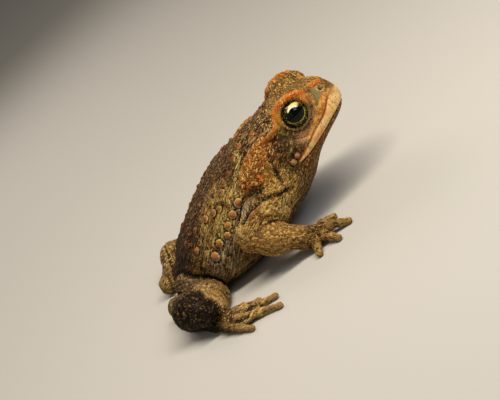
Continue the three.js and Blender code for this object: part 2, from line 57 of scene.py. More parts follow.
# %% The step from drawing to frame
MM_IN_METRE = 1000
EYE_AT = np.array([85.1, -11.7, 39.1])
EYE_RADIUS = 6.4
eye_low, eye_high = (np.array(corner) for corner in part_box("eye_right"))
STEP = (eye_low + eye_high) / 2 * MM_IN_METRE - EYE_AT
STEP[2] = 0
print("step in mm:", np.round(STEP, 2))


def to_frame(points):
    """Drawing millimetres to frame metres: add the step, then divide by a thousand."""
    return (points + STEP) / MM_IN_METRE


# %% [markdown]
# ## The body as a field
# A real toad's skin runs without a break from the lip over the trunk to the toes. Separate surfaces for
# trunk and limbs would show a seam at every joint. So the body is written as a field, a number at each
# point of space that is negative inside the flesh and zero on the skin. Two fields join with a soft
# minimum, which rounds the fold between them as skin does. The trunk's field is a row of cross-sections:
# each is a rounded box whose height, width and squareness run smoothly along the body.

# %% Cross-sections from rump to snout
SNOUT_X = 103.6
RUMP_X = 3.2
SNOUT_ROUND = 9.0
RUMP_ROUND = 14.0

SECTION_KEYS = ("x", "top", "keel", "mid", "half", "square", "under")
SECTIONS = np.array([
    (0, 12.5, 1.0, 6.0, 16, 2.2, 2.3),
    (8, 15.3, 0.0, 7.0, 19.5, 2.2, 2.3),
    (16, 21.0, -0.6, 8.5, 23, 2.15, 2.3),
    (25, 26.7, -1.0, 10, 27, 2.1, 2.3),
    (35, 32.6, -1.0, 12, 29.5, 2.1, 2.3),
    (45, 37.5, -0.6, 14.5, 29, 2.1, 2.2),
    (55, 39.8, 1.6, 18, 26.5, 2.1, 2.1),
    (63, 41.2, 4.4, 20.5, 23, 2.15, 2.0),
    (71, 42.8, 7.2, 23.5, 21.2, 2.4, 1.9),
    (77, 43.9, 10.8, 25.5, 20.6, 2.65, 1.8),
    (84, 44.4, 16.9, 28, 18.8, 2.9, 1.65),
    (90, 43.9, 20.6, 29, 16.4, 2.6, 1.6),
    (95, 42.8, 23.3, 29.8, 13.6, 2.4, 1.7),
    (99, 42.0, 25.0, 30.3, 11.4, 2.5, 1.8),
    (104, 41.2, 26.7, 31, 9.7, 2.5, 1.8),
])


def run_smoothly(x, stations, values):
    """A cubic through the values, whose slope at each station is that between its two neighbours."""
    ends = np.clip(np.arange(len(stations))[:, None] + [-1, 1], 0, len(stations) - 1)
    slope = np.diff(values[ends])[:, 0] / np.diff(stations[ends])[:, 0]
    at = np.clip(x, stations[0], stations[-1])
    i = np.clip(np.searchsorted(stations, at) - 1, 0, len(stations) - 2)
    width = stations[i + 1] - stations[i]
    t = (at - stations[i]) / width
    h = t * t * (3 - 2 * t)
    bend = width * t * (1 - t) * (slope[i] * (1 - t) - slope[i + 1] * t)
    return values[i] * (1 - h) + values[i + 1] * h + bend


def section(x, key):
    return run_smoothly(x, SECTIONS[:, 0], SECTIONS[:, SECTION_KEYS.index(key)])


def trunk_field(points):
    """How far a point lies outside its cross-section, measured along the ray from the section's middle."""
    x, y, z = np.moveaxis(points, -1, 0)
    front = np.clip((x - (SNOUT_X - SNOUT_ROUND)) / SNOUT_ROUND, 0, 1)
    back = np.clip((RUMP_X + RUMP_ROUND - x) / RUMP_ROUND, 0, 1)
    ends = (1 - front**2.6) ** 0.45 * (1 - back**2.2) ** 0.5
    middle = section(x, "mid")
    above = z > middle
    rise = np.where(above, section(x, "top") - middle, middle - section(x, "keel")) * ends
    power = np.where(above, section(x, "square"), section(x, "under"))
    up = z - middle
    wide = (np.abs(y) / (section(x, "half") * ends + 1e-6)) ** power
    norm = (wide + (np.abs(up) / (rise + 1e-6)) ** power) ** (1 / power)
    reach = np.hypot(y, up)
    field = np.where(norm < 1e-9, -rise, reach - reach / np.maximum(norm, 1e-9))
    beyond = (x >= SNOUT_X) | (x <= RUMP_X)
    return np.where(beyond, np.maximum(x - SNOUT_X, RUMP_X - x) + 0.01, field)


# %% Joining, carving and simple solids as fields
def join(a, b, soft):
    """The smaller of two fields, with the corner between them filled over the width soft."""
    h = np.maximum(soft - np.abs(a - b), 0) / soft
    return np.minimum(a, b) - h * h * soft / 4


def carve(a, b, soft):
    """What is left of a where b is taken away."""
    return -join(-a, b, soft)


def oval(points, centre, half, axes=np.eye(3)):
    """An ellipsoid: the length of the scaled place, less one, over its slope."""
    local = (points - centre) @ np.asarray(axes).T
    near = np.linalg.norm(local / half, axis=-1)
    slope = np.linalg.norm(local / np.square(half), axis=-1)
    return near * (near - 1) / np.maximum(slope, 1e-9)


def cone(points, a, b):
    """A round cone from a to b, each a place and a radius: distance to the line less the radius there."""
    start, along = np.array(a[:3], float), np.subtract(b[:3], a[:3])
    t = np.clip((points - start) @ along / (along @ along), 0, 1)
    return np.linalg.norm(points - start - t[..., None] * along, axis=-1) - (a[3] + (b[3] - a[3]) * t)


def chain(points, stations, soft=4.0):
    """Round cones end to end, joined softly."""
    field = cone(points, stations[0], stations[1])
    for a, b in zip(stations[1:], stations[2:]):
        field = join(field, cone(points, a, b), soft)
    return field


def web(points, corners, thick):
    """A thin skin stretched over a triangle: the distance to its nearest point, less half the thickness."""
    a, b, c = (np.array(corner, float) for corner in corners)
    normal = np.cross(b - a, c - a)
    edges = []
    inside = np.ones(points.shape[:-1], bool)
    for p, q in ((a, b), (b, c), (c, a)):
        edge, rel = q - p, points - p
        t = np.clip(rel @ edge / (edge @ edge), 0, 1)
        edges.append(np.linalg.norm(rel - t[..., None] * edge, axis=-1))
        inside &= rel @ np.cross(normal, edge) >= 0
    flat = np.abs((points - a) @ normal) / np.linalg.norm(normal)
    return np.where(inside, flat, np.min(edges, axis=0)) - thick / 2


# %% [markdown]
# ## Limbs
# The right limbs are measured from the picture, the hidden left ones are the same limbs moved a little:
# the left arm stands further back and the left knee lies nearer and lower. Each bone is a chain of round
# cones. Fingers and toes get a swelling at each knuckle and a round pad at the tip, and a thin web joins
# the roots of the toes.

# %% Stations of the limbs
ARM = {
    "upper": [(65, -17, 21, 9), (56, -26.5, 19.5, 7.8), (47.3, -32.5, 17.4, 6.3)],
    "fore": [(46.4, -33.2, 16.4, 5.9), (53, -36, 12, 5.7), (62, -37.5, 6.5, 4.2)],
    "paw": [(62.4, -38, 5.4, 4.1), (66.5, -36.6, 3.4, 4.0)],
    "digits": [
        ((70, -31, 3.2), (74.5, -27, 1.3)),
        ((73, -37, 3.4), (79.5, -38.8, 1.3)),
        ((69.5, -41, 3.2), (73.5, -46, 1.3)),
        ((65, -41.5, 3.0), (64.5, -47.5, 1.3)),
    ],
    "root": 2.0,
    "end": 1.35,
}
LEG = {
    "upper": [(12, -15, 7.4, 7.4), (17.6, -31, 4.8, 6.9), (18, -44, 6.4, 6.4)],
    "fore": [(17, -47, 8.2, 5.4), (10.8, -38, 8.6, 6.8), (2.8, -16, 5.2, 4.0)],
    "paw": [(1.2, -16, 4.2, 3.8), (8, -33, 3.0, 3.2), (17, -47, 2.6, 3.4)],
    "digits": [
        ((24, -47.5, 2.4), (29.5, -45, 1.2)),
        ((26.5, -50, 2.6), (36, -49.5, 1.2)),
        ((28, -52.5, 2.8), (43, -55, 1.2)),
        ((27, -56, 2.8), (44, -64, 1.2)),
        ((22, -56, 2.6), (31, -66, 1.2)),
    ],
    "root": 2.0,
    "end": 1.2,
}
LEFT_ARM = np.array([-8.0, 0, 0])
LEFT_KNEE = np.array([-10.5, 11.5, -4.0])
LEFT_SLIM = 0.84


def moved(stations, shift, first=1.0, last=1.0, slim=1.0):
    """Stations moved by a share of the shift that runs from first to last along the chain."""
    shares = np.linspace(first, last, len(stations))
    radii = [tuple(r * slim for r in s[3:]) for s in stations]
    return [tuple(np.add(s[:3], shift * share)) + r for s, r, share in zip(stations, radii, shares)]


def moved_limb(limb, shift, upper, fore, slim=1.0, heel=1.0):
    flat = shift * [1, 1, 0]
    return {
        **limb,
        "upper": moved(limb["upper"], shift, *upper, slim),
        "fore": moved(limb["fore"], shift, *fore, slim),
        "paw": moved(limb["paw"], flat, heel, 1.0),
        "digits": [tuple(moved(digit, flat)) for digit in limb["digits"]],
    }


def digit_stations(limb, digit):
    """Palm, knuckle, middle joint and pad of one finger or toe."""
    palm = np.array(limb["paw"][-1][:3])
    bend, tip = (np.array(p, float) for p in digit)
    root, end = limb["root"], limb["end"]
    middle = bend + (tip - bend) * 0.5
    stations = [(*palm, root * 1.1), (*bend, root), (*(bend + (middle - bend) * 0.5), root * 0.72)]
    stations += [(*middle, root * 0.8), (*(middle + (tip - middle) * 0.6), end * 0.85), (*tip, end * 1.05)]
    return stations


ARMS = {"right": ARM, "left": moved_limb(ARM, LEFT_ARM, (0, 0.5), (0.5, 1))}
LEGS = {"right": LEG, "left": moved_limb(LEG, LEFT_KNEE, (0, 1), (1, 0.4), LEFT_SLIM, 0.4)}

# %% [markdown]
# ## The head
# The head gets the most care. Round each eye the skull carries bony ridges: one along the snout, one in
# front of the eye, one over it, one behind it and one above the ear drum. They are chains of round cones,
# as the bones are. The lids bulge between ridge and eye, and a large gland lies behind the ear drum. What
# lies on the right side is measured from the picture in side view, and set on the skin by a ray.

# %% Lids, ridges, mouth and glands
LID = (np.array([87.3, -11.6, 40.1]), np.array([8.0, 7.9, 7.4]))
LOOK = np.array([np.sin(0.26) * np.cos(0.2), -np.cos(0.26) * np.cos(0.2), np.sin(0.2)])
LOOK_SIDE = np.cross(LOOK, (0, 0, 1)) / np.linalg.norm(np.cross(LOOK, (0, 0, 1)))
LOOK_UP = np.cross(LOOK_SIDE, LOOK)
APERTURE = 5.5

RIDGES = {
    "canthal": [
        (93.8, -10.8, 43.4, 1.0), (94.8, -6.6, 42.6, 0.9), (96.5, -4.3, 42.0, 0.8), (98.4, -2.6, 41.3, 0.8),
        (100.0, -1.6, 40.4, 0.8),
    ],
    "preorbital": [
        (93.8, -11.6, 43.4, 1.0), (94.9, -13.5, 41.4, 0.9), (94.6, -14.9, 38.6, 0.8),
        (93.6, -15.2, 36.2, 0.7),
    ],
    "supraorbital": [
        (93.9, -11.4, 43.8, 1.1), (91.2, -13.6, 45.5, 1.0), (87.2, -14.1, 46.9, 1.0),
        (83.2, -13.9, 46.5, 1.0), (80.4, -14.0, 44.7, 1.1),
    ],
    "postorbital": [(80.4, -14.1, 44.6, 1.1), (78.4, -15.3, 42.4, 1.0), (77.4, -16.3, 40.3, 1.1)],
    "supratympanic": [(77.2, -16.6, 40.1, 1.2), (74.0, -17.0, 39.5, 1.1), (70.6, -17.2, 38.7, 1.1)],
}

MOUTH = np.array([(74.5, 24.0), (76.4, 24.2), (82, 24.6), (88, 25.9), (93, 27.4), (98, 28.8), (108, 29.8)])
GLAND = {"x": 62.4, "z": 32.0, "slant": 0.75, "half": (13.2, 6.9, 4.3), "sink": 0.5}
DRUM = {"x": 75.3, "z": 34.4}
NOSTRIL = {"x": 99.3, "z": 39.3}
RIDGE_SHARE = 0.85


def mouth_height(x):
    return run_smoothly(x, MOUTH[:, 0], MOUTH[:, 1])


STRIDE, HALVINGS = 0.4, 18


def meet(start, ray, field, far=80.0):
    """Where rays from inside first leave a field, by even strides and then by halving the last of them."""
    start, ray = np.atleast_2d(start), np.atleast_2d(ray)
    steps = np.arange(STRIDE, far, STRIDE)
    values = field(start[:, None] + ray[:, None] * steps[:, None])
    out = steps[np.argmax(values >= 0, axis=1)]
    low, high = out - STRIDE, out
    for _ in range(HALVINGS):
        middle = (low + high) / 2
        within = field(start + ray * middle[:, None]) < 0
        low, high = np.where(within, middle, low), np.where(within, high, middle)
    return start + ray * high[:, None]


def slope_of(field, points, step=0.25):
    """The direction in which a field grows fastest, from differences along the three axes."""
    sides = [field(points + d) - field(points - d) for d in np.eye(3) * step]
    slope = np.stack(sides, axis=-1)
    return slope / np.maximum(np.linalg.norm(slope, axis=-1, keepdims=True), 1e-9)


def head_field(points):
    both = np.minimum(oval(points, *LID), oval(points, LID[0] * [1, -1, 1], LID[1]))
    return join(trunk_field(points), both, 2.0)


def side_point(x, z):
    """The skin's place and outward direction on the right side, at that place seen from the side."""
    at = meet([x, 0, z], [0, -1, 0], head_field)
    return at[0], slope_of(head_field, at)[0]


def gland_frame():
    at, out = side_point(GLAND["x"], GLAND["z"])
    along = np.array([np.cos(GLAND["slant"]), 0, np.sin(GLAND["slant"])])
    along -= out * (along @ out)
    along /= np.linalg.norm(along)
    return at - out * GLAND["sink"], np.array([along, np.cross(out, along), out])


GLAND_AT, GLAND_AXES = gland_frame()
print("gland at", np.round(GLAND_AT, 1))

# %% [markdown]
# ## One field for the whole skin
# Each form is worked out only inside its own box, grown by the width of its soft join, because it changes
# nothing further off. The right side is drawn, and a mirrored place is used for the left.

# %% The skin's field
ROOM = 6.0
LID_FRONT, LID_LEAN, LID_REACH, LID_FALL = 4.5, 0.13, 9.5, 1.2
SLANT, SLANT_FROM = 0.15, 3
ROLL_OUT, ROLL_DEEP, ROLL_THICK = 0.55, 3.25, 0.95
RIDGE_SOFT, GLAND_SOFT, FLOOR_SOFT = 1.4, 1.6, 0.5
DIGIT_SOFT, WEB_SOFT, WEB_THICK = 1.2, 0.8, 1.3
ARM_SOFT, LEG_SOFT = (2.2, 2.0, 2.0), (1.6, 1.2, 1.4)


def box_of(stations):
    places = np.array([s[:3] for s in stations], float)
    radius = max((s[3] for s in stations if len(s) > 3), default=0)
    return places.min(0) - radius - ROOM, places.max(0) + radius + ROOM


def eye_setting(points, flesh):
    """Lids round the right eye: the bulge is planed in front, opened with a slanting edge, and edged with
    a soft roll. The plane leans forward at the bottom, and beyond its reach it falls away."""
    rel = points - EYE_AT
    along, up = rel @ LOOK, rel @ LOOK_UP
    off = np.sqrt(np.maximum(np.sum(rel * rel, axis=-1) - along**2, 0))
    plane = along - (LID_FRONT + LID_LEAN * up)
    planed = np.where(off < LID_REACH, plane, plane - (off - LID_REACH) * LID_FALL)
    flesh = -join(-flesh, -planed, 1.0)
    opening = off - (APERTURE + 0.1 + SLANT * (along - SLANT_FROM))
    flesh = carve(flesh, np.maximum(opening, 1 - along), 0.5)
    thick = ROLL_THICK + 0.1 * np.clip(up / 6, -1, 1)
    roll = np.hypot(off - (APERTURE + ROLL_OUT), along - (ROLL_DEEP + 0.05 * up)) - thick
    return join(flesh, roll, 0.7)


def head_forms(side):
    """The right side's ridges and lid setting as forms, for one side of the head."""
    forms = []
    for stations in RIDGES.values():
        thin = [(*station[:3], station[3] * RIDGE_SHARE) for station in stations]
        forms.append((box_of(thin), lambda p, f, s=thin: join(f, chain(p, s, 0.6), RIDGE_SOFT)))
    around = [(*EYE_AT, EYE_RADIUS)]
    forms.insert(0, (box_of(around), eye_setting))
    return [(mirror_box(box, side), mirrored(form, side)) for box, form in forms]


def mirror_box(box, side):
    low, high = (np.array(corner) for corner in box)
    if side < 0:
        low[1], high[1] = -high[1], -low[1]
    return low, high


def mirrored(form, side):
    return lambda p, f: form(p * [1, side, 1], f)


def limb_forms(limb, side, soft):
    forms = []
    for part, width in zip(("upper", "fore", "paw"), soft):
        stations = limb[part]
        forms.append((box_of(stations), lambda p, f, s=stations, w=width: join(f, chain(p, s), w)))
    digits = [digit_stations(limb, digit) for digit in limb["digits"]]
    for stations in digits:
        forms.append((box_of(stations), lambda p, f, s=stations: join(f, chain(p, s, 0.8), DIGIT_SOFT)))
    if len(digits) == 5:
        for a, b in zip(digits, digits[1:]):
            palm, middle, next_middle, next_bend = (s[:3] for s in (a[0], a[3], b[3], b[1]))
            for corners in ((palm, middle, next_middle), (palm, next_middle, next_bend)):
                forms.append((
                    box_of(corners),
                    lambda p, f, c=corners: join(f, web(p, c, WEB_THICK), WEB_SOFT),
                ))
    return [(mirror_box(box, side), mirrored(form, side)) for box, form in forms]


def gland_forms(side):
    stations = [(*GLAND_AT, max(GLAND["half"]))]
    shape = (GLAND_AT, np.array(GLAND["half"]), GLAND_AXES)
    form = mirrored(lambda p, f: join(f, oval(p, *shape), GLAND_SOFT), side)
    return [(mirror_box(box_of(stations), side), form)]


FORMS = []
for sign, name in ((1, "right"), (-1, "left")):
    FORMS += limb_forms(ARMS[name], sign, ARM_SOFT)
    FORMS += limb_forms(LEGS[name], sign, LEG_SOFT)
    FORMS += gland_forms(sign)
    FORMS += head_forms(sign)
print("forms in the skin:", len(FORMS))


def skin_field(points):
    """The trunk and head with every form worked in, cut level at the floor."""
    field = head_field(points)
    for (low, high), form in FORMS:
        near = np.all((points > low) & (points < high), axis=-1)
        field[near] = form(points[near], field[near])
    return -join(-field, points[..., 2], FLOOR_SOFT)

# %% [markdown]
# ## From field to mesh
# A surface given by a field can't be laid out on two parameters in one piece, because it branches into
# limbs and toes. It is found on a grid of points instead: each cell that the skin crosses gets one vertex,
# and each grid edge that it crosses gets one face of four. The grid is finer over the head than over the
# limbs. The vertices are then evened out and pressed onto the field, so the skin is exact and smooth.

# %% A grid that is finer at the head
def spaced(stops):
    """Points along an axis whose spacing runs from stop to stop, each stop a place and a spacing."""
    places, steps = np.array(stops, float).T
    fine = np.linspace(places[0], places[-1], 20001)
    count = np.concatenate([[0], np.cumsum(np.diff(fine) / np.interp(fine[:-1], places, steps))])
    return np.interp(np.linspace(0, count[-1], int(round(count[-1])) + 1), count, fine)


COARSE, FINE = 0.83, 0.44
MIDDLING = COARSE * 0.85
AXES = (
    spaced([(-6, COARSE), (56, MIDDLING), (72, FINE), (105, FINE)]),
    spaced([(-70, COARSE), (-24, MIDDLING), (-18, FINE), (18, FINE), (24, MIDDLING), (66, COARSE)]),
    spaced([(-2.2, COARSE), (14, MIDDLING), (28, FINE), (50, FINE)]),
)


def surface_net(axes, values):
    """One vertex in the middle of each crossed cell, and a face round each crossed grid edge."""
    inside = values < 0
    count = np.zeros(np.subtract(inside.shape, 1), np.int8)
    for i in (0, 1):
        for j in (0, 1):
            for k in (0, 1):
                count += inside[i:i + count.shape[0], j:j + count.shape[1], k:k + count.shape[2]]
    cells = np.argwhere((count > 0) & (count < 8))
    number = np.full(count.shape, -1)
    number[tuple(cells.T)] = np.arange(len(cells))
    middles = [(a[1:] + a[:-1]) / 2 for a in axes]
    points = np.stack([m[c] for m, c in zip(middles, cells.T)], axis=1)
    faces = []
    for axis in range(3):
        b, c = (axis + 1) % 3, (axis + 2) % 3
        turned = np.moveaxis(inside, axis, 0)
        crossed = np.moveaxis(turned[1:] != turned[:-1], 0, axis)
        edges = np.argwhere(crossed)
        edges = edges[(edges[:, b] > 0) & (edges[:, c] > 0)]
        edges = edges[(edges[:, b] < count.shape[b]) & (edges[:, c] < count.shape[c])]
        ring = []
        for db, dc in ((1, 1), (0, 1), (0, 0), (1, 0)):
            cell = edges.copy()
            cell[:, b] -= db
            cell[:, c] -= dc
            ring.append(number[tuple(cell.T)])
        quads = np.stack(ring, axis=1)
        outward = inside[tuple(edges.T)]
        faces.append(np.where(outward[:, None], quads, quads[:, ::-1]))
    return points, np.concatenate(faces)


def ends_of(faces):
    """Both ends of each face's four edges."""
    return np.concatenate([faces[:, [i, (i + 1) % 4]] for i in range(4)])


def evened(points, faces):
    """Each vertex moved to the middle of its neighbours."""
    ends = ends_of(faces)
    count = np.bincount(ends[:, 0], minlength=len(points))
    sums = [np.bincount(ends[:, 0], points[ends[:, 1], k], len(points)) for k in range(3)]
    return np.stack(sums, axis=1) / count[:, None]


def pressed(points, field, step=0.2, far=0.6):
    """Each vertex moved along the field's slope by the field's value over that slope."""
    value = field(points)
    sides = [field(points + d) - field(points - d) for d in np.eye(3) * step]
    slope = np.stack(sides, axis=-1) / (2 * step)
    move = value / np.maximum(np.sum(slope**2, axis=-1), 0.15)
    size = np.abs(move) * np.linalg.norm(slope, axis=-1)
    move *= np.minimum(1, far / np.maximum(size, 1e-9))
    return points - slope * move[:, None]


grid = np.stack(np.meshgrid(*AXES, indexing="ij"), axis=-1)
points, faces = surface_net(AXES, skin_field(grid))
del grid
ROUNDS = 3
for _ in range(ROUNDS):
    points = pressed(evened(points, faces), skin_field)
print("skin vertices:", len(points), "triangles:", 2 * len(faces))


# %% Helpers: normals and hollows of a mesh of four-sided faces
def normals_of(points, faces):
    """The sum of the faces' area vectors round each vertex, set to length one."""
    across = np.cross(points[faces[:, 2]] - points[faces[:, 0]], points[faces[:, 3]] - points[faces[:, 1]])
    total = np.zeros_like(points)
    for k in range(3):
        total[:, k] = np.bincount(faces.ravel(), np.repeat(across[:, k], 4), len(points))
    return total / np.maximum(np.linalg.norm(total, axis=1, keepdims=True), 1e-9)


def averaged(values, faces, rounds):
    """Values smoothed over the surface, each round taking the mean of a vertex and its neighbours."""
    ends = ends_of(faces)
    count = np.bincount(ends[:, 0], minlength=len(values))
    for _ in range(rounds):
        values = 0.5 * values + 0.5 * np.bincount(ends[:, 0], values[ends[:, 1]], len(values)) / count
    return values


def hollow(points, faces, rounds):
    """How far the surface lies under its own smoothed copy: the folds and the feet of warts."""
    smoothed = np.stack([averaged(points[:, k], faces, rounds) for k in range(3)], axis=1)
    return np.sum((smoothed - points) * normals_of(smoothed, faces), axis=1)

# %% [markdown]
# ## Warts, grains and folds
# The skin of this toad is never smooth. Large reddish warts stand in rows on the flanks, smaller ones lie
# between them, grains cover everything, and fine folds run along the sides and round the joints. They are
# raised on the finished mesh, each vertex moving along its normal by a height that is a function of its
# place. Real shape was chosen over a bump in the finish for warts, folds and larger grains, so that they
# also show at the outline. The finest wrinkles and grit are left to the finish. Each function also
# returns what the finish needs to colour it.

# %% Numbers that scatter evenly and come out the same every time
def scatter(seed):
    state = seed

    def draw(low=0.0, high=1.0):
        nonlocal state
        state = state * 16807 % 2147483647
        return low + (high - low) * state / 2147483647

    return draw


def lattice(cells, seed):
    """A number from 0 to 1 for each whole-numbered cell, from the fraction of a large sine."""
    mixed = np.sin(cells @ np.array([127.1, 311.7, 74.7]) + seed * 17.17) * 43758.5453
    return mixed - np.floor(mixed)


def clouds(places, size, seed):
    """Smooth noise from -1 to 1: random numbers at the corners of cubes, eased from corner to corner."""
    scaled = places / size
    cell = np.floor(scaled)
    t = scaled - cell
    t = t * t * (3 - 2 * t)
    total = 0
    for corner in np.ndindex(2, 2, 2):
        share = np.prod(np.where(corner, t, 1 - t), axis=-1)
        total = total + share * lattice(cell + corner, seed)
    return 2 * total - 1


def grains(places, size, seed):
    """Distance to the nearest of points scattered one to a cube, as a share of the cube's side."""
    scaled = places / size
    cell = np.floor(scaled)
    nearest = np.full(len(places), 9.0)
    for corner in np.ndindex(3, 3, 3):
        other = cell + corner - 1
        at = other + 0.5 + 0.8 * (np.stack([lattice(other, seed + k) for k in range(3)], axis=-1) - 0.5)
        nearest = np.minimum(nearest, np.linalg.norm(scaled - at, axis=-1))
    return nearest


def smooth(low, high, value):
    """0 below low, 1 above high, and an eased run between them."""
    t = np.clip((value - low) / (high - low), 0, 1)
    return t * t * (3 - 2 * t)


# %% Places of the warts: distance from the rump, angle down from the back's ridge, radius
BIG_WARTS = [
    # the lower row, from the armpit back
    (49.3, 79, 1.7), (44.8, 81, 1.5), (40.7, 83, 1.4), (38.3, 87, 1.2), (33.8, 86, 1.5), (29.3, 90, 1.8),
    # the upper row, from the gland back
    (55.9, 38, 1.3), (51.8, 50, 1.3), (48.1, 54, 1.4), (45.6, 59, 1.4), (41.3, 68, 1.2), (38.2, 65, 1.5),
    (34.2, 62, 1.4), (23.6, 74, 1.4),
    # neck and rump
    (67.6, 33, 1.4), (60.5, 27, 1.2), (27.5, 57, 1.3), (20.0, 52, 1.2),
]
STREWN = [
    # how many, from and to along the body, widest angle, smallest and largest radius
    (64, (9, 68), 108, (0.75, 1.15)),
    (420, (5, 76), 92, (0.45, 0.75)),
    (60, (72, 88), 44, (0.45, 0.75)),
]
FLANK_ROWS = (92, (18, 50), (60, 106), (0.5, 0.8))


def axis_height(x):
    return 0.45 * section(x, "top") + 0.35 * section(x, "mid") + 0.2 * section(x, "keel")


def trunk_places(rows):
    """Points of the trunk's skin for rows of place along the body and angle down from its ridge."""
    x, angle = rows[:, 0], np.radians(rows[:, 1])
    start = np.stack([x, 0 * x, axis_height(x)], axis=1)
    ray = np.stack([0 * x, -np.sin(angle), np.cos(angle)], axis=1)
    return meet(start, ray, head_field)


def wart_rows():
    draw = scatter(7)
    rows = []
    for x, angle, radius in BIG_WARTS:
        rows.append((x, angle, radius))
        rows.append((x + draw(-1.5, 1.5), -angle + draw(-4, 4), radius))
    for count, place, widest, radius in STREWN:
        rows += [(draw(*place), draw(-widest, widest), draw(*radius)) for _ in range(count)]
    count, place, angle, radius = FLANK_ROWS
    rows += [(draw(*place), draw(*angle) * (1 - 2 * (i % 2)), draw(*radius)) for i in range(count)]
    return np.array(rows)


ELBOW_ROOM = 1.15

rows = wart_rows()
wart_at = trunk_places(rows)
kept = []
for i, (place, radius) in enumerate(zip(wart_at, rows[:, 2])):
    between = np.linalg.norm(wart_at[kept] - place, axis=1)
    if np.all(between > ELBOW_ROOM * (rows[kept, 2] + radius)):
        kept.append(i)
wart_at, wart_size = wart_at[kept], rows[kept, 2]
print("warts on the trunk:", len(wart_at))

# %% Warts elsewhere: cheeks, glands and upper arms
CHEEK_WARTS = [(75.0, 26.4, 1.3), (77.6, 27.6, 1.2)]
ARM_CREASE = np.array([
    (70.1, -24.4, 19.7), (67.4, -26.7, 21.0), (64.7, -29.1, 22.9), (61.6, -31.0, 24.7), (59.4, -31.6, 25.7),
    (57.5, -31.7, 26.3), (54.7, -32.5, 25.9), (50.9, -32.3, 25.2), (47.4, -33.2, 23.8),
])


def crease_height(x):
    """Height of the crease between arm and body at a distance along the body."""
    return np.interp(x, ARM_CREASE[::-1, 0], ARM_CREASE[::-1, 2])


def gland_warts(seed, count=48):
    """Warts strewn over the gland: random rays out of its middle, met with its own oval."""
    draw = scatter(seed)
    half = np.array(GLAND["half"])
    spread = np.array([(draw(-0.85, 0.85), draw(-0.8, 0.8)) for _ in range(count)])
    rays = np.column_stack([spread, np.ones(count) * 0.8]) * half
    start = np.tile(GLAND_AT, (count, 1))
    places = meet(start, rays @ GLAND_AXES / 5, lambda p: oval(p, GLAND_AT, half, GLAND_AXES))
    return places, np.array([draw(0.55, 1.0) for _ in range(count)])


def arm_warts(stations, seed, count=70):
    """Granules on the upper and outer side of the upper arm, met by rays out of its bone."""
    draw = scatter(seed)
    stations = np.array(stations, float)
    t = np.array([draw(0.5, 1.75) for _ in range(count)])
    at = np.stack([np.interp(t, range(len(stations)), stations[:, k]) for k in range(3)], axis=1)
    rays = np.array([(draw(-0.5, 0.7), draw(-1, -0.4), draw(0.0, 1.1)) for _ in range(count)])
    rays /= np.linalg.norm(rays, axis=1, keepdims=True)
    places = meet(at, rays, lambda p: chain(p, stations), 14)
    sizes = np.array([draw(0.45, 0.75) for _ in range(count)])
    on_arm = places[:, 2] < crease_height(places[:, 0]) - 0.6
    return places[on_arm], sizes[on_arm]


groups = [(wart_at, wart_size)]
for sign, name in ((1, "right"), (-1, "left")):
    flip = np.array([1, sign, 1])
    cheek = np.array([side_point(x, z)[0] for x, z, _ in CHEEK_WARTS]) * flip
    groups.append((cheek, np.array([radius for *_, radius in CHEEK_WARTS])))
    for places, sizes in (gland_warts(31), arm_warts(ARMS[name]["upper"], 41)):
        groups.append((places * flip, sizes))
wart_at = np.concatenate([places for places, _ in groups])
wart_size = np.concatenate([sizes for _, sizes in groups])
print("warts in all:", len(wart_at))


# %% Raise the warts
BODY_LINE = np.array([0.86, 0.0, 0.5])
SMALL, BIG = 0.82, 1.15
DRAWN_OUT = 0.45
WART_FOOT, WART_RISE = 1.15, 0.8
MOAT_AT, MOAT_WIDTH, MOAT_DEPTH = 1.3, 0.25, 0.14


def raise_warts(points, places, sizes):
    """Domes: height falls from the middle to the foot as one less the squared distance, to the power 1.3.
    Small warts are drawn out along the body. Each wart has a shallow moat, and a mask marks it round the
    large ones."""
    height, tip, big_tip, ring = np.zeros((4, len(points)))
    order = np.argsort(points[:, 0])
    sorted_x = points[order, 0]
    for place, size in zip(places, sizes):
        low, high = np.searchsorted(sorted_x, (place[0] - 2 * size, place[0] + 2 * size))
        near = order[low:high]
        offset = points[near] - place
        if size < SMALL:
            offset = offset - np.outer(offset @ BODY_LINE * DRAWN_OUT, BODY_LINE)
        gap = np.linalg.norm(offset, axis=1) / size
        near, gap = near[gap < 2.0], gap[gap < 2.0]
        dome = np.maximum(1 - (gap / WART_FOOT) ** 2, 0) ** 1.3
        moat = np.exp(-(((gap - MOAT_AT) / MOAT_WIDTH) ** 2))
        height[near] = np.maximum(height[near], dome * size * WART_RISE)
        height[near] -= MOAT_DEPTH * moat * size * (dome < 0.01)
        tip[near] = np.maximum(tip[near], dome)
        if size > BIG:
            ring[near] = np.maximum(ring[near], moat)
            big_tip[near] = np.maximum(big_tip[near], dome)
    return height, tip, big_tip, ring


wart_height, wart_mask, big_wart_mask, wart_ring = raise_warts(points, wart_at, wart_size)
print("highest wart in mm:", round(wart_height.max(), 2))

# %% [markdown]
# ## The lip, the snout and the ear drum
# These forms are small, so they are raised or sunk on the mesh by heights that depend on the place: how
# far above the mouth a point lies, how far from the nostril, and how far from the middle of the drum.

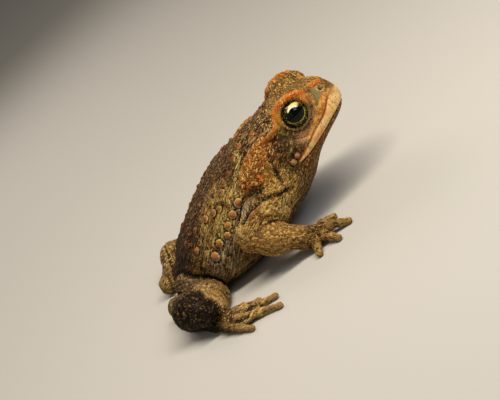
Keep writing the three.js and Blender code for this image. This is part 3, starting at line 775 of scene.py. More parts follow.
# %% Forms of the head
LIP_TOP = np.array([
    (74, 0.8), (77, 1.5), (82, 2.8), (85.6, 3.7), (89.3, 4.2), (94, 4.3), (96.5, 4.9), (98.4, 6.0),
    (100, 6.6), (108, 6.2),
])
CHEEK_BAND_TOP = np.array([
    (79, 1.3), (81.3, 2.7), (84.3, 4.5), (87.8, 6.0), (91.9, 7.2), (93.7, 8.6), (98.2, 8.8), (100, 8.2),
    (103, 6.6),
])
NOSTRIL_AT = side_point(NOSTRIL["x"], NOSTRIL["z"])[0]
LOREAL_AT = np.array([96.9, -9.2, 39.3])
LIP_RISE, BAND_RISE, SLIT_DEPTH, GROOVE_DEPTH = 0.42, 0.3, 0.75, 0.1
NOSE_RISE, NOSTRIL_DEPTH, LOREAL_DEPTH = 0.45, 1.9, 0.8
DRUM_LONG, DRUM_HIGH, DRUM_RISE, DRUM_DEPTH = 3.5, 3.9, 0.22, 0.3


def bell(value, width):
    return np.exp(-((value / width) ** 2))


def head_relief(right_side):
    """Heights of lip, nostril, loreal hollow and drum, and the masks that colour them. The lip is a half
    wave between the mouth and its own top, the mouth and the groove over the lip are narrow bells, and
    nostril, hollow and drum are bells of the distance to their middles."""
    x, y, z = right_side.T
    waver = clouds(right_side, 1.6, 71)
    above = z - mouth_height(x)
    front = smooth(75.2, 77.5, x) * smooth(36, 30, z - 0.35 * (x - 80)) * smooth(9, 12, x - 66)
    lip_top = run_smoothly(x, LIP_TOP[:, 0], LIP_TOP[:, 1])
    share = above / lip_top
    edge = share + waver * 0.05
    tip = smooth(98.5, 101, x)
    lip = front * smooth(0.02, 0.1, share) * smooth(1.08 + 0.25 * tip, 0.9 - 0.35 * tip, edge)
    slit = front * bell(above, 0.42)
    groove = front * bell(above - lip_top, 0.45) * smooth(100.5, 97.5, x)
    jaw = front * smooth(0.0, -0.5, above) * smooth(-4.2, -2.4, above)
    height = LIP_RISE * lip * np.sin(np.clip(share, 0, 1) * np.pi) ** 0.6
    height -= SLIT_DEPTH * slit + GROOVE_DEPTH * groove
    band_top = run_smoothly(x, CHEEK_BAND_TOP[:, 0], CHEEK_BAND_TOP[:, 1])
    band = smooth(77, 80, x) * smooth(0.1, 0.7, above - lip_top)
    band = band * smooth(0.5, -0.7, above - band_top + waver * 0.6)
    height += BAND_RISE * band
    nose = np.linalg.norm(right_side - NOSTRIL_AT, axis=1)
    height += NOSE_RISE * bell(nose - 1.55, 0.6) - NOSTRIL_DEPTH * bell(nose, 0.65)
    from_loreal = np.linalg.norm(right_side - LOREAL_AT, axis=1)
    height -= LOREAL_DEPTH * bell(from_loreal, 3.2)
    drum = np.hypot((x - DRUM["x"]) / DRUM_LONG, (z - DRUM["z"]) / DRUM_HIGH) + 9 * (y > -12)
    height += DRUM_RISE * bell(drum - 1.1, 0.14) - DRUM_DEPTH * smooth(1.0, 0.6, drum)
    masks = {"lip": lip, "slit": slit, "groove": groove, "jaw": jaw, "band": band}
    masks["nostril"] = bell(nose, 0.72)
    masks["nose_rim"] = bell(nose - 1.5, 0.6)
    masks["loreal"] = smooth(4.6, 2.6, from_loreal) * (1 - band)
    masks["drum"] = smooth(1.15, 0.85, drum)
    masks["drum_ring"] = bell(drum - 1.15, 0.12)
    masks["snout"] = smooth(96.5, 100.5, x) * (1 - lip) * smooth(0.0, 1.0, above)
    return height, masks


right_side = points * [1, -1, 1]
right_side[:, 1] = -np.abs(points[:, 1])
head_height, masks = head_relief(right_side)

# %% [markdown]
# ## Folds, creases and the lie of the skin
# Loose skin folds along the line it is pulled: along the body on the flanks, along the bone on the limbs.
# Where two forms of flesh press together, such as arm and chest, there is a deep crease. It lies where the
# fields of both forms are equal. The finish needs the same directions, so each vertex also carries its
# lie: how far it is along the body or bone, and how far round it.

# %% Folds of a smooth noise, and creases between two forms
def squeezed(places, line, factor):
    """Places whose distance along a line counts only one part in factor."""
    along = places @ line
    return places - np.outer(along * (1 - 1 / factor), line)


def creases(places, size, seed):
    """Sharp valleys where a smooth noise passes through zero: 1 in the valley, 0 beside it."""
    return np.maximum(1 - np.abs(clouds(places, size, seed)) * 4.5, 0)


def fold_between(a, b, width):
    """1 along the line where two forms meet: there their fields are equal and near zero."""
    return bell(a - b, width) * smooth(3.4, 1.4, np.abs(a) + np.abs(b))


def along_line(places, stations, width):
    """1 on a line through some stations, falling off over the width on both sides."""
    line = [(*station, 0.0) for station in stations]
    return bell(np.maximum(chain(places, line, 0.4), 0), width)


def line_of(stations):
    line = np.subtract(stations[-1][:3], stations[0][:3])
    return line / np.linalg.norm(line)


# %% Limb by limb: masks, creases, and the lie along each bone
FLANK_RISE = 0.6
DRUM_CREASE = [
    (70.0, -19.9, 35.6), (68.9, -21.6, 32.9), (68.0, -22.5, 29.9), (67.6, -23.3, 27.0), (67.4, -26.0, 23.4),
]
CHEST_PULL = np.array([0.94, 0.2, -0.28])

trunk_value = head_field(points)
under_crease = crease_height(points[:, 0]) - points[:, 2]
of_arm = smooth(-0.8, 0.8, under_crease) * smooth(70, 64, points[:, 0])
angle_turn = np.arctan2(points[:, 1], points[:, 2] - axis_height(points[:, 0]))
angle = np.abs(np.degrees(angle_turn))
lie = np.stack([points[:, 0] * 1.12, angle_turn * 24, 0 * angle], axis=1)
flank_lie = lie + np.outer(np.sign(angle_turn) * points[:, 0], (0, FLANK_RISE, 0))
lie[angle > 40] = flank_lie[angle > 40]
nearest = trunk_value.copy()
ARM_PARTS, LEG_PARTS = ("upper_arm", "fore_arm", "hand"), ("thigh", "shank", "foot")
limbs = {name: np.zeros(len(points)) for name in ARM_PARTS + LEG_PARTS}
fold, press = np.zeros((2, len(points)))
for sign, name in ((1, "right"), (-1, "left")):
    local = points * [1, sign, 1]
    for kinds, limb in ((ARM_PARTS, ARMS[name]), (LEG_PARTS, LEGS[name])):
        values = [chain(local, limb[part]) for part in ("upper", "fore", "paw")]
        for digit in limb["digits"]:
            values[2] = np.minimum(values[2], chain(local, digit_stations(limb, digit), 0.8))
        for kind, part, value in zip(kinds, ("upper", "fore", "paw"), values):
            within = smooth(0.7, -0.3, value - np.minimum(trunk_value, 0.4))
            pressed_here = fold_between(trunk_value, value, 0.8)
            if kind == "upper_arm":
                within = within * of_arm
                pressed_here = pressed_here * smooth(56, 52, points[:, 0])
            limbs[kind] = np.maximum(limbs[kind], within)
            press = np.maximum(press, pressed_here)
            bone = line_of(limb[part])
            side = np.cross(bone, (0, 0, 1)) / np.linalg.norm(np.cross(bone, (0, 0, 1)))
            rel = local - limb[part][0][:3]
            round_bone = np.arctan2(rel @ side, rel @ np.cross(side, bone))
            mine = value < nearest
            lie[mine] = np.stack([rel @ bone, round_bone * 6, 0 * value], axis=1)[mine]
            nearest = np.minimum(nearest, value)
            if kind != "shank":
                fold = fold + (value < 0.8) * creases(squeezed(local, bone, 3.0), 1.5, 5 + len(kind))
        if kinds[0] == "thigh":
            press = np.maximum(press, fold_between(values[0], values[1], 0.8))
            limbs["shank"] = np.maximum(limbs["shank"], limbs["foot"] * smooth(27, 18, points[:, 0]))
any_limb = np.clip(sum(limbs.values()), 0, 1)
drum_crease = along_line(right_side, DRUM_CREASE, 1.1)
arm_crease = along_line(right_side, ARM_CREASE, 1.2)
press = np.maximum(press, arm_crease * smooth(71, 68, points[:, 0]))
print("deepest crease share:", round(press.max(), 2), "vertices in creases:", int((press > 0.5).sum()))

# %% Relief of the whole skin
GRAIN, FINE_GRAIN, SWELL = 0.14, 0.11, 0.35
FOLD_DEPTH, PRESS_DEPTH, DRUM_CREASE_DEPTH = 0.28, 1.0, 0.6
BREAST_AT, BREAST_WIDTH = [65.5, -26, 23], 6.0

head = smooth(71, 77, points[:, 0] + 0.15 * (points[:, 2] - 28))
gland_mask = 0
for sign in (1, -1):
    value = oval(points * [1, sign, 1], GLAND_AT, np.array(GLAND["half"]), GLAND_AXES)
    gland_mask = np.maximum(gland_mask, smooth(0.9, 0.1, value))
trunk = (1 - head) * (1 - any_limb) * (1 - gland_mask)
flank = trunk * smooth(25, 60, angle)
flank_creases = smooth(30, 55, angle) * creases(flank_lie / [5.0, 1, 1], 1.4, 3)
fold = np.clip(fold, 0, 1) * (1 - trunk) + flank * flank_creases
breast = bell(np.linalg.norm(right_side - BREAST_AT, axis=1), BREAST_WIDTH) * (1 - head * 0.5)
fold = np.clip(fold + 1.8 * breast * creases(squeezed(right_side, CHEST_PULL, 6.0), 1.3, 9), 0, 1.6)
grain = smooth(0.62, 0.15, grains(points, 1.7, 11))
fine_grain = smooth(0.6, 0.15, grains(points, 1.15, 23))
calm = np.clip(sum(masks[name] for name in ("lip", "slit", "loreal", "nostril", "band")), 0, 1)
rough = (1 - calm) * (1 - 0.7 * limbs["hand"]) * (1 - 0.7 * limbs["foot"]) * (1 - wart_mask)
height = wart_height * (1 - 0.6 * press) + head_height
height = height + rough * (GRAIN * grain * (1 - head) + FINE_GRAIN * fine_grain)
height = height - FOLD_DEPTH * fold * (1 - wart_mask)
height = height - PRESS_DEPTH * press - DRUM_CREASE_DEPTH * drum_crease
height = height + SWELL * clouds(points, 5.0, 41) * (1 - head) * (1 - any_limb)
height = height * smooth(0.1, 1.2, points[:, 2])
normals = normals_of(points, faces)
points = points + normals * height[:, None]
points[:, 2] = np.maximum(points[:, 2], 0)
cavity = hollow(points, faces, 3) * 3.5 + hollow(points, faces, 14) * 0.9
print("relief from", round(height.min(), 2), "to", round(height.max(), 2), "mm")

# %% [markdown]
# ## Where each colour lies
# The colouring is a row of soft masks on the vertices: a dark back, a pale uneven stripe that leaves the
# gland and runs down into a yellow flank, orange glands and brows, a cream lip, grey-brown cheeks, golden
# arms, a spotted thigh, a dark shank, a pale belly. Some masks carry painted light: the dark of the back,
# the shank and the thigh's root is partly painted shade, the rump's dark and the creases are painted
# shade, and the pale of the low flank is partly painted light. The edges wander with noise, as markings
# do. The finish mixes the colours and adds the specks.

# %% Masks of the trunk
STRIPE = [
    (59.1, -7.7, 39.9), (58.1, -11.8, 38.4), (55.5, -15.5, 36.6), (53.4, -18.5, 34.6), (51.6, -21.3, 32.0),
    (49, -24, 29),
]
FLANK_TOP = np.array([
    (14, 82), (24, 68), (30, 58), (35.6, 51), (41, 46), (45, 47), (49, 58), (52, 69), (56, 82),
])
FLANK_LOW = np.array([(14, 90), (31, 91), (35, 89), (40, 86), (44, 83), (50, 80), (56, 84)])
GLAND_SPOT = [57.4, -27.0, 28.2]

x, y, z = points.T
wander = clouds(points, 6.0, 61) * 5 + clouds(points, 2.4, 62) * 4
down = angle + wander
top_edge = run_smoothly(x, FLANK_TOP[:, 0], FLANK_TOP[:, 1])
low_edge = run_smoothly(x, FLANK_LOW[:, 0], FLANK_LOW[:, 1])
to_stripe = chain(right_side, [(*station, 0.5 + 0.32 * i) for i, station in enumerate(STRIPE)], 0.5)
masks["pale_line"] = trunk * smooth(0.9, -0.1, to_stripe + wander * 0.14)
yellow = smooth(-12, 6, down - top_edge) * smooth(6, -5, down - low_edge)
masks["yellow"] = trunk * yellow * smooth(20, 36, x) * smooth(53, 49, x)
# The back's dark is partly its own brown and partly painted shade.
masks["back"] = trunk * smooth(6, -12, down - np.minimum(top_edge, 78)) * (1 - masks["pale_line"])
# The low yellow flank, which turns down from the light, is paled with the stripe's colour: painted light.
masks["pale_line"] = np.maximum(masks["pale_line"], 0.9 * masks["yellow"] * smooth(62, 80, down))
# The low flank behind the arm is paled: partly its own colour, partly painted light where the arm's shadow
# falls.
under = smooth(-4, 4, down - low_edge) * smooth(116, 104, down)
masks["under"] = trunk * under * smooth(57, 49, x) * smooth(20, 30, x)
masks["belly"] = (1 - any_limb) * smooth(112, 128, down)
# The rump's mask darkens the rear of the body: painted shade.
masks["rump"] = trunk * smooth(30, 12, x)
gland_edge = (x - GLAND["x"]) + (z - GLAND["z"]) * 0.6 + 7 + wander * 0.3
masks["gland"] = gland_mask * smooth(-5, 1.0, gland_edge)
masks["gland_front"] = gland_mask * smooth(67.5, 71.5, x + 0.25 * (30 - z) + wander * 0.15)
from_spot = np.linalg.norm(right_side - GLAND_SPOT, axis=1)
masks["gland_spot"] = smooth(4.2, 2.3, from_spot + wander * 0.12)

# %% Masks of the head
BROW_LINE = [
    (77.2, -17.7, 40.5), (77.8, -16.1, 42.6), (79.7, -15.4, 44.6), (81.7, -15.0, 46.0), (85.2, -15.2, 46.7),
    (87.2, -15.3, 46.8), (89.6, -14.9, 46.3), (91.3, -14.7, 45.8), (93.2, -13.7, 44.5), (95.2, -8.9, 42.9),
    (97.7, -4.8, 41.5), (100.3, -2.4, 40.4),
]
DRUM_ARCH = [(77.2, -17.7, 40.5), (74.7, -17.9, 39.5), (70.6, -18.1, 38.9)]
ARCH = [
    (76.6, -13.6, 42.2), (74.2, -13.9, 40.9), (71.3, -12.7, 40.6), (68.3, -11.6, 40.3), (65.2, -10.8, 39.9),
]

ridge = 0
for name, stations in RIDGES.items():
    if name != "preorbital":
        thin = [(*station[:3], station[3] * RIDGE_SHARE) for station in stations]
        ridge = np.maximum(ridge, smooth(0.44, 0.08, chain(right_side, thin, 0.6)))
masks["ridge"] = ridge * (0.7 + 0.3 * smooth(-0.5, 0.1, clouds(points, 1.1, 81)))
masks["pale_ridge"] = smooth(0.4, 0.0, chain(right_side, RIDGES["preorbital"], 0.6) + 0.15)
from_eye = right_side - EYE_AT
along_look, up_look, before = from_eye @ LOOK, from_eye @ LOOK_UP, from_eye @ -LOOK_SIDE
off_look = np.sqrt(np.maximum(np.sum(from_eye**2, axis=1) - along_look**2, 0.01))
rise_share, front_share = up_look / off_look, before / off_look
facing = smooth(-0.5, 1.0, along_look) * (1 - ridge)
masks["lid"] = facing * smooth(9.8, 9.0, off_look) * smooth(-0.15, 0.3, rise_share)
eye_rings = {
    # how far out, how wide, and on which part of the ring round the eye
    "rim": (5.75, 0.32, smooth(0.4, 0.0, rise_share) * (0.45 + 0.55 * smooth(-0.5, 0.5, front_share))),
    # socket: painted shade in the fold under the lower lid
    "socket": (6.5, 0.5, smooth(0.15, -0.3, rise_share)),
    "olive": (7.6, 1.5, smooth(-0.45, -0.8, front_share) * smooth(-0.35, 0.0, rise_share)),
    "corner": (7.4, 1.3, smooth(0.45, 0.8, front_share)),
    "eye_bag": (9.3, 2.4, smooth(-0.1, -0.5, rise_share) * smooth(-0.8, -0.3, front_share)),
}
for name, (distance, width, part) in eye_rings.items():
    masks[name] = facing * bell(off_look - distance, width) * part
cheek = head * smooth(94, 90, x) * (1 - masks["lip"]) * (1 - masks["band"])
cheek = cheek * smooth(22, 25, z) * smooth(41.0, 38.0, z) * smooth(10, 13, np.abs(y))
masks["cheek"] = cheek * (1 - masks["rim"]) * (1 - ridge)
masks["crown"] = smooth(74, 78, x) * smooth(40.0, 42.0, z) * (1 - masks["lid"]) * (1 - masks["snout"])
masks["neck"] = smooth(56, 62, x) * smooth(79, 75, x) * smooth(60, 50, angle) * (1 - gland_mask)
masks["head"] = head

# %% The rest of what the finish needs
THIGH_PATCH = [25.0, -35.5, 5.5]

masks.update(limbs)
masks["wart"] = wart_mask
masks["big_wart"] = big_wart_mask
masks["breast"] = breast * (1 - any_limb)
thigh_patch = smooth(5.0, 3.0, np.linalg.norm(right_side - THIGH_PATCH, axis=1) + wander * 0.1)
# thigh_root darkens the thigh where it goes under the flank: painted shade. thigh_patch is the thigh's own
# dark marking.
thigh_root = smooth(-36, -27, right_side[:, 1] + wander * 0.3)
masks["thigh_dark"] = limbs["thigh"] * np.maximum(thigh_root, 0.7 * thigh_patch)
masks["arch"] = along_line(right_side, ARCH, 0.5) * smooth(-0.6, 0.1, clouds(points, 1.3, 83))
masks["wart_ring"] = wart_ring
masks["wart_red"] = smooth(74, 66, angle) * (1 - any_limb) * (1 - gland_mask)
masks["wart_pale"] = smooth(30, 28, z) * smooth(66, 68, x)
# The fold mask marks the creases where the limbs press on the trunk and behind the drum. The finish paints
# shade in them.
masks["fold"] = np.clip(press + 0.8 * drum_crease, 0, 1)
masks["cavity"] = cavity
arm_lines = 0.35 * limbs["upper_arm"] + 0.3 * limbs["fore_arm"] + 0.7 * limbs["hand"]
masks["wrinkled"] = np.clip(flank * smooth(30, 50, angle) + breast + arm_lines, 0, 1)
brow = along_line(right_side, BROW_LINE, 0.55) * smooth(-1.2, -0.5, clouds(points, 1.4, 85))
masks["brow"] = np.clip(1.4 * brow, 0, 1) * (0.45 + 0.55 * smooth(79, 84, x))
drum_arch = along_line(right_side, DRUM_ARCH, 1.0) * smooth(-0.5, 0.1, clouds(points, 1.7, 87))
masks["drum_arch"] = np.clip(1.5 * drum_arch, 0, 1)
# The shank's outer part is darkened: partly its own dark brown, partly painted shade.
masks["shank_dark"] = limbs["shank"] * smooth(31, 38, np.abs(y) + wander * 0.3)
for name in sorted(masks):
    print(name, np.round([np.min(masks[name]), np.mean(masks[name]), np.max(masks[name])], 2))

# %% [markdown]
# ## The skin as one piece
# The mesh goes into Blender in metres, with its masks as values on the vertices. It stands for every solid
# part of flesh, so no parting line shows. The eyes are made by the same function.

# %% Make a piece from arrays
def add_piece(name, points, face_groups, stands_for, values, lie=None):
    """A piece from points and faces. Each group of faces is an array with one column for each corner."""
    corners = np.concatenate([group.ravel() for group in face_groups])
    sizes = np.concatenate([np.full(len(group), group.shape[1]) for group in face_groups])
    mesh = bpy.data.meshes.new(name)
    mesh.vertices.add(len(points))
    mesh.vertices.foreach_set("co", to_frame(points).astype(np.float32).ravel())
    mesh.loops.add(len(corners))
    mesh.loops.foreach_set("vertex_index", corners.astype(np.int32))
    mesh.polygons.add(len(sizes))
    mesh.polygons.foreach_set("loop_start", (np.cumsum(sizes) - sizes).astype(np.int32))
    mesh.polygons.foreach_set("use_smooth", np.ones(len(sizes), bool))
    mesh.update(calc_edges=True)
    for key, value in values.items():
        layer = mesh.attributes.new(key, "FLOAT", "POINT")
        layer.data.foreach_set("value", value.astype(np.float32))
    if lie is not None:
        layer = mesh.attributes.new("lie", "FLOAT_VECTOR", "POINT")
        layer.data.foreach_set("vector", (lie / MM_IN_METRE).astype(np.float32).ravel())
    piece = bpy.data.objects.new(name, mesh)
    bpy.context.scene.collection.objects.link(piece)
    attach(piece, "root")
    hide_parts(*stands_for)
    print(name, "has", len(points), "vertices")
    return piece


skin = add_piece("skin", points, [faces], FLESH, masks, lie)

# %% [markdown]
# ## Writing a finish
# A finish is a tree of nodes. One small class wraps a socket, so that sums on masks are written as sums,
# and one method adds any other node from its type, its settings and what goes into its sockets.

# %% Sockets as numbers
class Value:
    """A socket of a finish. Adding, taking, multiplying or dividing it adds the Math node that does so."""

    def __init__(self, finish, socket):
        self.finish, self.socket = finish, socket

    def math(self, operation, first, second):
        return self.finish.node("ShaderNodeMath", {"operation": operation}, {0: first, 1: second})

    def __add__(self, other):
        return self.math("ADD", self, other)

    def __radd__(self, other):
        return self.math("ADD", other, self)

    def __sub__(self, other):
        return self.math("SUBTRACT", self, other)

    def __rsub__(self, other):
        return self.math("SUBTRACT", other, self)

    def __mul__(self, other):
        return self.math("MULTIPLY", self, other)

    def __rmul__(self, other):
        return self.math("MULTIPLY", other, self)

    def __truediv__(self, other):
        return self.math("DIVIDE", self, other)

    def __rtruediv__(self, other):
        return self.math("DIVIDE", other, self)

    def __pow__(self, other):
        return self.math("POWER", self, other)

    def run(self, low, high):
        """0 at low, 1 at high, eased between."""
        settings = {"interpolation_type": "SMOOTHSTEP"}
        sockets = {"Value": self, "From Min": low, "From Max": high, "To Min": 0.0, "To Max": 1.0}
        return self.finish.node("ShaderNodeMapRange", settings, sockets)


def seen(red, green, blue):
    """A colour as it looks on a screen, 0 to 255, turned into the light it stands for."""
    shade = np.array([red, green, blue]) / 255
    linear = np.where(shade <= 0.04045, shade / 12.92, ((shade + 0.055) / 1.055) ** 2.4)
    return (*[float(channel) for channel in linear], 1.0)


class Finish:
    """A material with one principled shader."""

    def __init__(self, name):
        self.material = bpy.data.materials.new(name)
        self.material.use_nodes = True
        self.tree = self.material.node_tree
        self.shader = self.tree.nodes["Principled BSDF"]

    def node(self, kind, settings=None, sockets=None, out=0):
        made = self.tree.nodes.new(kind)
        for key, value in (settings or {}).items():
            setattr(made, key, value)
        for key, value in (sockets or {}).items():
            if isinstance(value, Value):
                self.tree.links.new(value.socket, made.inputs[key])
            else:
                made.inputs[key].default_value = value
        return Value(self, made.outputs[out])

    def mask(self, name):
        return self.node("ShaderNodeAttribute", {"attribute_name": name}, out="Fac")

    def place(self):
        return self.node("ShaderNodeTexCoord", out="Object")

    def noise(self, size, detail, rough, place=None):
        sockets = {"Vector": place or self.place(), "Scale": 1 / size, "Detail": detail, "Roughness": rough}
        return self.node("ShaderNodeTexNoise", sockets=sockets)

    def along(self, stretch):
        """The skin's lie, drawn out along the body or bone by the stretch."""
        lie = self.node("ShaderNodeAttribute", {"attribute_name": "lie"}, out="Vector")
        return self.node("ShaderNodeMapping", sockets={"Vector": lie, "Scale": (1 / stretch, 1.0, 1.0)})

    def cells(self, size, place=None):
        """Distance to the nearest of scattered points, and a random number for each of them."""
        sockets = {"Vector": place or self.place(), "Scale": 1 / size, "Randomness": 0.9}
        distance = self.node("ShaderNodeTexVoronoi", sockets=sockets)
        colour = Value(self, distance.socket.node.outputs["Color"])
        return distance, self.node("ShaderNodeSeparateColor", sockets={"Color": colour})

    def mix(self, first, second, share, blend="MIX"):
        settings = {"data_type": "RGBA", "blend_type": blend, "clamp_factor": True}
        return self.node("ShaderNodeMix", settings, {0: share, 6: first, 7: second}, out=2)

    def coated(self, colour, coats):
        """A colour with coats laid over it in turn, each a shade and the share of it that covers."""
        for shade, share in coats:
            colour = self.mix(colour, shade if isinstance(shade, Value) else seen(*shade), share)
        return colour

    def feed(self, **sockets):
        for name, value in sockets.items():
            target = self.shader.inputs[name.replace("_", " ")]
            if isinstance(value, Value):
                self.tree.links.new(value.socket, target)
            else:
                target.default_value = value


# %% [markdown]
# ## The skin's finish
# Three things build the skin: the ground colour of each region, laid over the last by its mask; a fine
# relief that follows the lie of the skin; and painted light on that relief, which is painted shade in
# every gap and hollow of it and painted highlights on its tips and raised parts. The relief is made of
# spindles on the back, round granules, finer grit, and long pleats and wrinkles where the skin is loose.
# It drives both the bump and the painted shade and highlights, so these follow the same relief. The skin
# of this toad is dry, with a low sheen, and the edge of the lower lid is wet.

# %% Noises and cells, each with its size in metres
finish = Finish("toad skin")
mask = {name: finish.mask(name) for name in masks}
blotch = finish.noise(size=0.007, detail=3.0, rough=0.6)
mottle = finish.noise(size=0.0022, detail=3.0, rough=0.65)
speck = finish.noise(size=0.0006, detail=3.0, rough=0.7)
strands = finish.noise(size=0.0008, detail=2.0, rough=0.6, place=finish.along(6.0))
spindle_gap, spindle_kind = finish.cells(0.0022, finish.along(1.9))
granule_gap, granule_kind = finish.cells(0.00115, finish.along(1.3))
grit_gap, grit_kind = finish.cells(0.0007)
pleat_gap = finish.cells(0.0011, finish.along(3.2))[0]
spot_gap = finish.cells(0.0026)[0]
spindle = (1 - spindle_gap.run(0.16, 0.40)) * spindle_kind.run(0.3, 0.45)
granule = 1 - granule_gap.run(0.2, 0.6)
grit = 1 - grit_gap.run(0.2, 0.6)
pleat = 1 - pleat_gap.run(0.22, 0.56)
wrinkle = 1 - (((strands - 0.5) ** 2.0) ** 0.5 * 18.0).run(0.0, 1.0)


# %% Where each relief stands
def share_of(**shares):
    """The sum of some masks, each taken by its share."""
    return sum(mask[name] * share for name, share in shares.items())


def without(**shares):
    """What is left after each mask has taken its share away."""
    left = 1.0
    for name, share in shares.items():
        left = left * (1 - mask[name] * share)
    return left


smooth_wart = 1 - mask["big_wart"].run(0.0, 0.25)
bare = share_of(lip=1, band=1, loreal=1, rim=1, corner=1, olive=1).run(0.0, 1.0)
spindled = smooth_wart * share_of(back=1, neck=1, yellow=0.35, under=0.8, rump=0.5).run(0.0, 1.0)
wrinkled = mask["wrinkled"] * smooth_wart
granular = smooth_wart * (1 - bare) * (1 - wrinkled) * without(thigh=0.5, cheek=0.6, ridge=0.5)
relief = granule * granular * 0.55 + grit * (1 - bare * 0.8) * 0.3 + spindle * spindled * 0.9
relief = relief + speck * 0.25 + pleat * wrinkled * 0.7 - wrinkle * wrinkled * 0.6


# %% Ground colours, from the whole body to the small parts of the head, some of them painted shade and light
def broken(low, high, cut, full=1.0):
    """A coat that is full, less the cut where the mottling is strong."""
    return full - mottle.run(low, high) * cut


colour = finish.mix(seen(150, 112, 52), seen(188, 146, 76), blotch.run(0.38, 0.62))
colour = finish.coated(colour, [
    ((104, 76, 34), mottle.run(0.48, 0.66) * 0.6),
    # the back's dark brown, partly painted shade
    ((92, 62, 20), mask["back"] * broken(0.48, 0.6, 0.35, 0.95)),
    ((238, 196, 106), mask["yellow"] * broken(0.56, 0.72, 0.3) * 0.97),
    # the pale stripe, and painted light on the low yellow flank
    ((255, 228, 134), mask["pale_line"] * 0.95),
    # pale on the low flank behind the arm: partly its own colour, partly painted light against the arm's
    # shadow
    ((240, 222, 176), mask["under"] * broken(0.36, 0.56, -0.4, 0.55)),
    # painted shade on the rump
    ((24, 13, 4), mask["rump"] * (1 - mask["yellow"]) * broken(0.4, 0.6, -0.2, 0.75)),
    ((176, 142, 84), mask["belly"] * broken(0.5, 0.66, 0.7)),
    ((168, 118, 54), mask["head"] * broken(0.5, 0.7, 0.5) * 0.8),
    ((214, 178, 104), mask["neck"] * broken(0.45, 0.6, 0.4) * 0.9),
    ((192, 150, 76), mask["crown"] * broken(0.5, 0.66, 0.35) * 0.9),
    ((220, 150, 54), mask["gland"] * broken(0.5, 0.66, 0.35) * 0.95),
    ((124, 92, 48), mask["gland_front"] * 0.7),
    ((250, 196, 98), mask["breast"] * broken(0.5, 0.62, 0.4, 0.9)),
    ((26, 15, 4), mask["gland_spot"] * broken(0.4, 0.55, -0.3, 0.7)),
    ((255, 212, 118), mask["upper_arm"] * 0.9),
    ((216, 162, 84), mask["fore_arm"] * broken(0.48, 0.62, 0.35, 0.95)),
    ((158, 116, 48), mask["hand"] * 0.9),
    ((172, 137, 78), mask["thigh"] * 0.9),
    # the thigh's dark: painted shade at its root, and its own dark patch and spots
    ((58, 40, 20), mask["thigh_dark"] * 0.92 + mask["thigh"] * (1 - spot_gap.run(0.2, 0.3)) * 0.85),
    ((180, 140, 78), mask["shank"] * 0.9),
    ((66, 46, 24), mask["shank"] * (blotch * 0.4 + mottle * 0.6).run(0.47, 0.53) * 0.85),
    # the shank's dark: partly its own brown, partly painted shade
    ((36, 20, 7), mask["shank_dark"] * 0.97),
    ((124, 92, 46), mask["foot"] * (1 - mask["shank"]) * 0.9),
    ((44, 31, 18), mask["cheek"] * broken(0.4, 0.62, -0.25, 0.75)),
    ((220, 166, 112), mask["eye_bag"]),
    ((84, 64, 38), mask["drum"] * 0.8),
    ((132, 112, 62), mask["drum_ring"] * 0.5),
    ((212, 146, 48), mask["snout"] * 0.85),
    ((214, 164, 78), mask["band"] * 0.92),
    ((104, 108, 77), mask["loreal"] * broken(0.46, 0.62, 0.3, 0.9)),
    ((236, 203, 136), mask["lip"] * 0.97),
    ((178, 78, 22), mottle.run(0.49, 0.56) * share_of(band=0.75, lip=0.2, groove=0.8)),
    ((226, 156, 84), mask["lip"] * (blotch.run(0.46, 0.6) * 0.5 + mottle.run(0.45, 0.6) * 0.35)),
    ((150, 90, 34), mask["jaw"] * 0.85),
    ((150, 84, 28), mask["groove"] * 0.75),
    ((250, 146, 44), mask["lid"] * broken(0.5, 0.62, 0.4, 0.95)),
    ((156, 124, 40), mask["olive"] * 0.85),
    ((190, 150, 88), mask["corner"] * 0.5),
    # painted shade under the lower lid
    ((44, 34, 20), mask["socket"] * 0.8),
    ((46, 48, 43), mask["rim"] * 0.95),
    ((222, 150, 84), mask["pale_ridge"] * 0.7),
    ((186, 122, 56), mask["ridge"] * broken(0.5, 0.62, 0.4, 0.8)),
])

# %% Pigment of spindles and warts, with painted highlights on the wart tops and painted shade in mouth and nostril
red, dome = mask["wart_red"], mask["wart"]
brown_part = share_of(back=1, neck=1).run(0.0, 0.8)
spindle_shade = finish.mix(seen(232, 158, 74), seen(142, 60, 24), brown_part)
spindle_edge = spindle_gap.run(0.2, 0.34) - spindle_gap.run(0.42, 0.56)
wart_shade = finish.coated(finish.mix(seen(176, 98, 42), seen(134, 62, 26), red), [
    (finish.mix(seen(138, 60, 20), seen(92, 38, 34), red), mask["big_wart"].run(0.0, 0.2)),
    ((176, 64, 34), mask["neck"] * 0.8),
    ((222, 118, 36), mask["gland"]),
    ((156, 114, 68), mask["wart_pale"]),
])
ring_shade = finish.mix(seen(48, 30, 14), seen(206, 150, 96), red)
quiet = without(lip=1, shank=0.8, gland_spot=0.85)
# tip_share: how much painted highlight the wart tops get, less on the large warts
tip_share = (0.5 - red * 0.25) * without(big_wart=0.85)
colour = finish.coated(colour, [
    ((44, 28, 10), spindle_edge * spindled * 0.6),
    (spindle_shade, spindle * spindled * 0.7),
    (ring_shade, mask["wart_ring"] * quiet * (0.3 + red * 0.15)),
    (wart_shade, dome.run(0.08, 0.5) * quiet * 0.92),
    # painted highlight on the wart tops
    ((240, 172, 96), dome.run(0.75, 1.0) * quiet * tip_share),
    # painted shade in the mouth's slit and in the nostril
    ((30, 20, 12), share_of(slit=1, nostril=1).run(0.2, 0.9)),
    ((176, 164, 128), mask["nose_rim"] * 0.55),
])

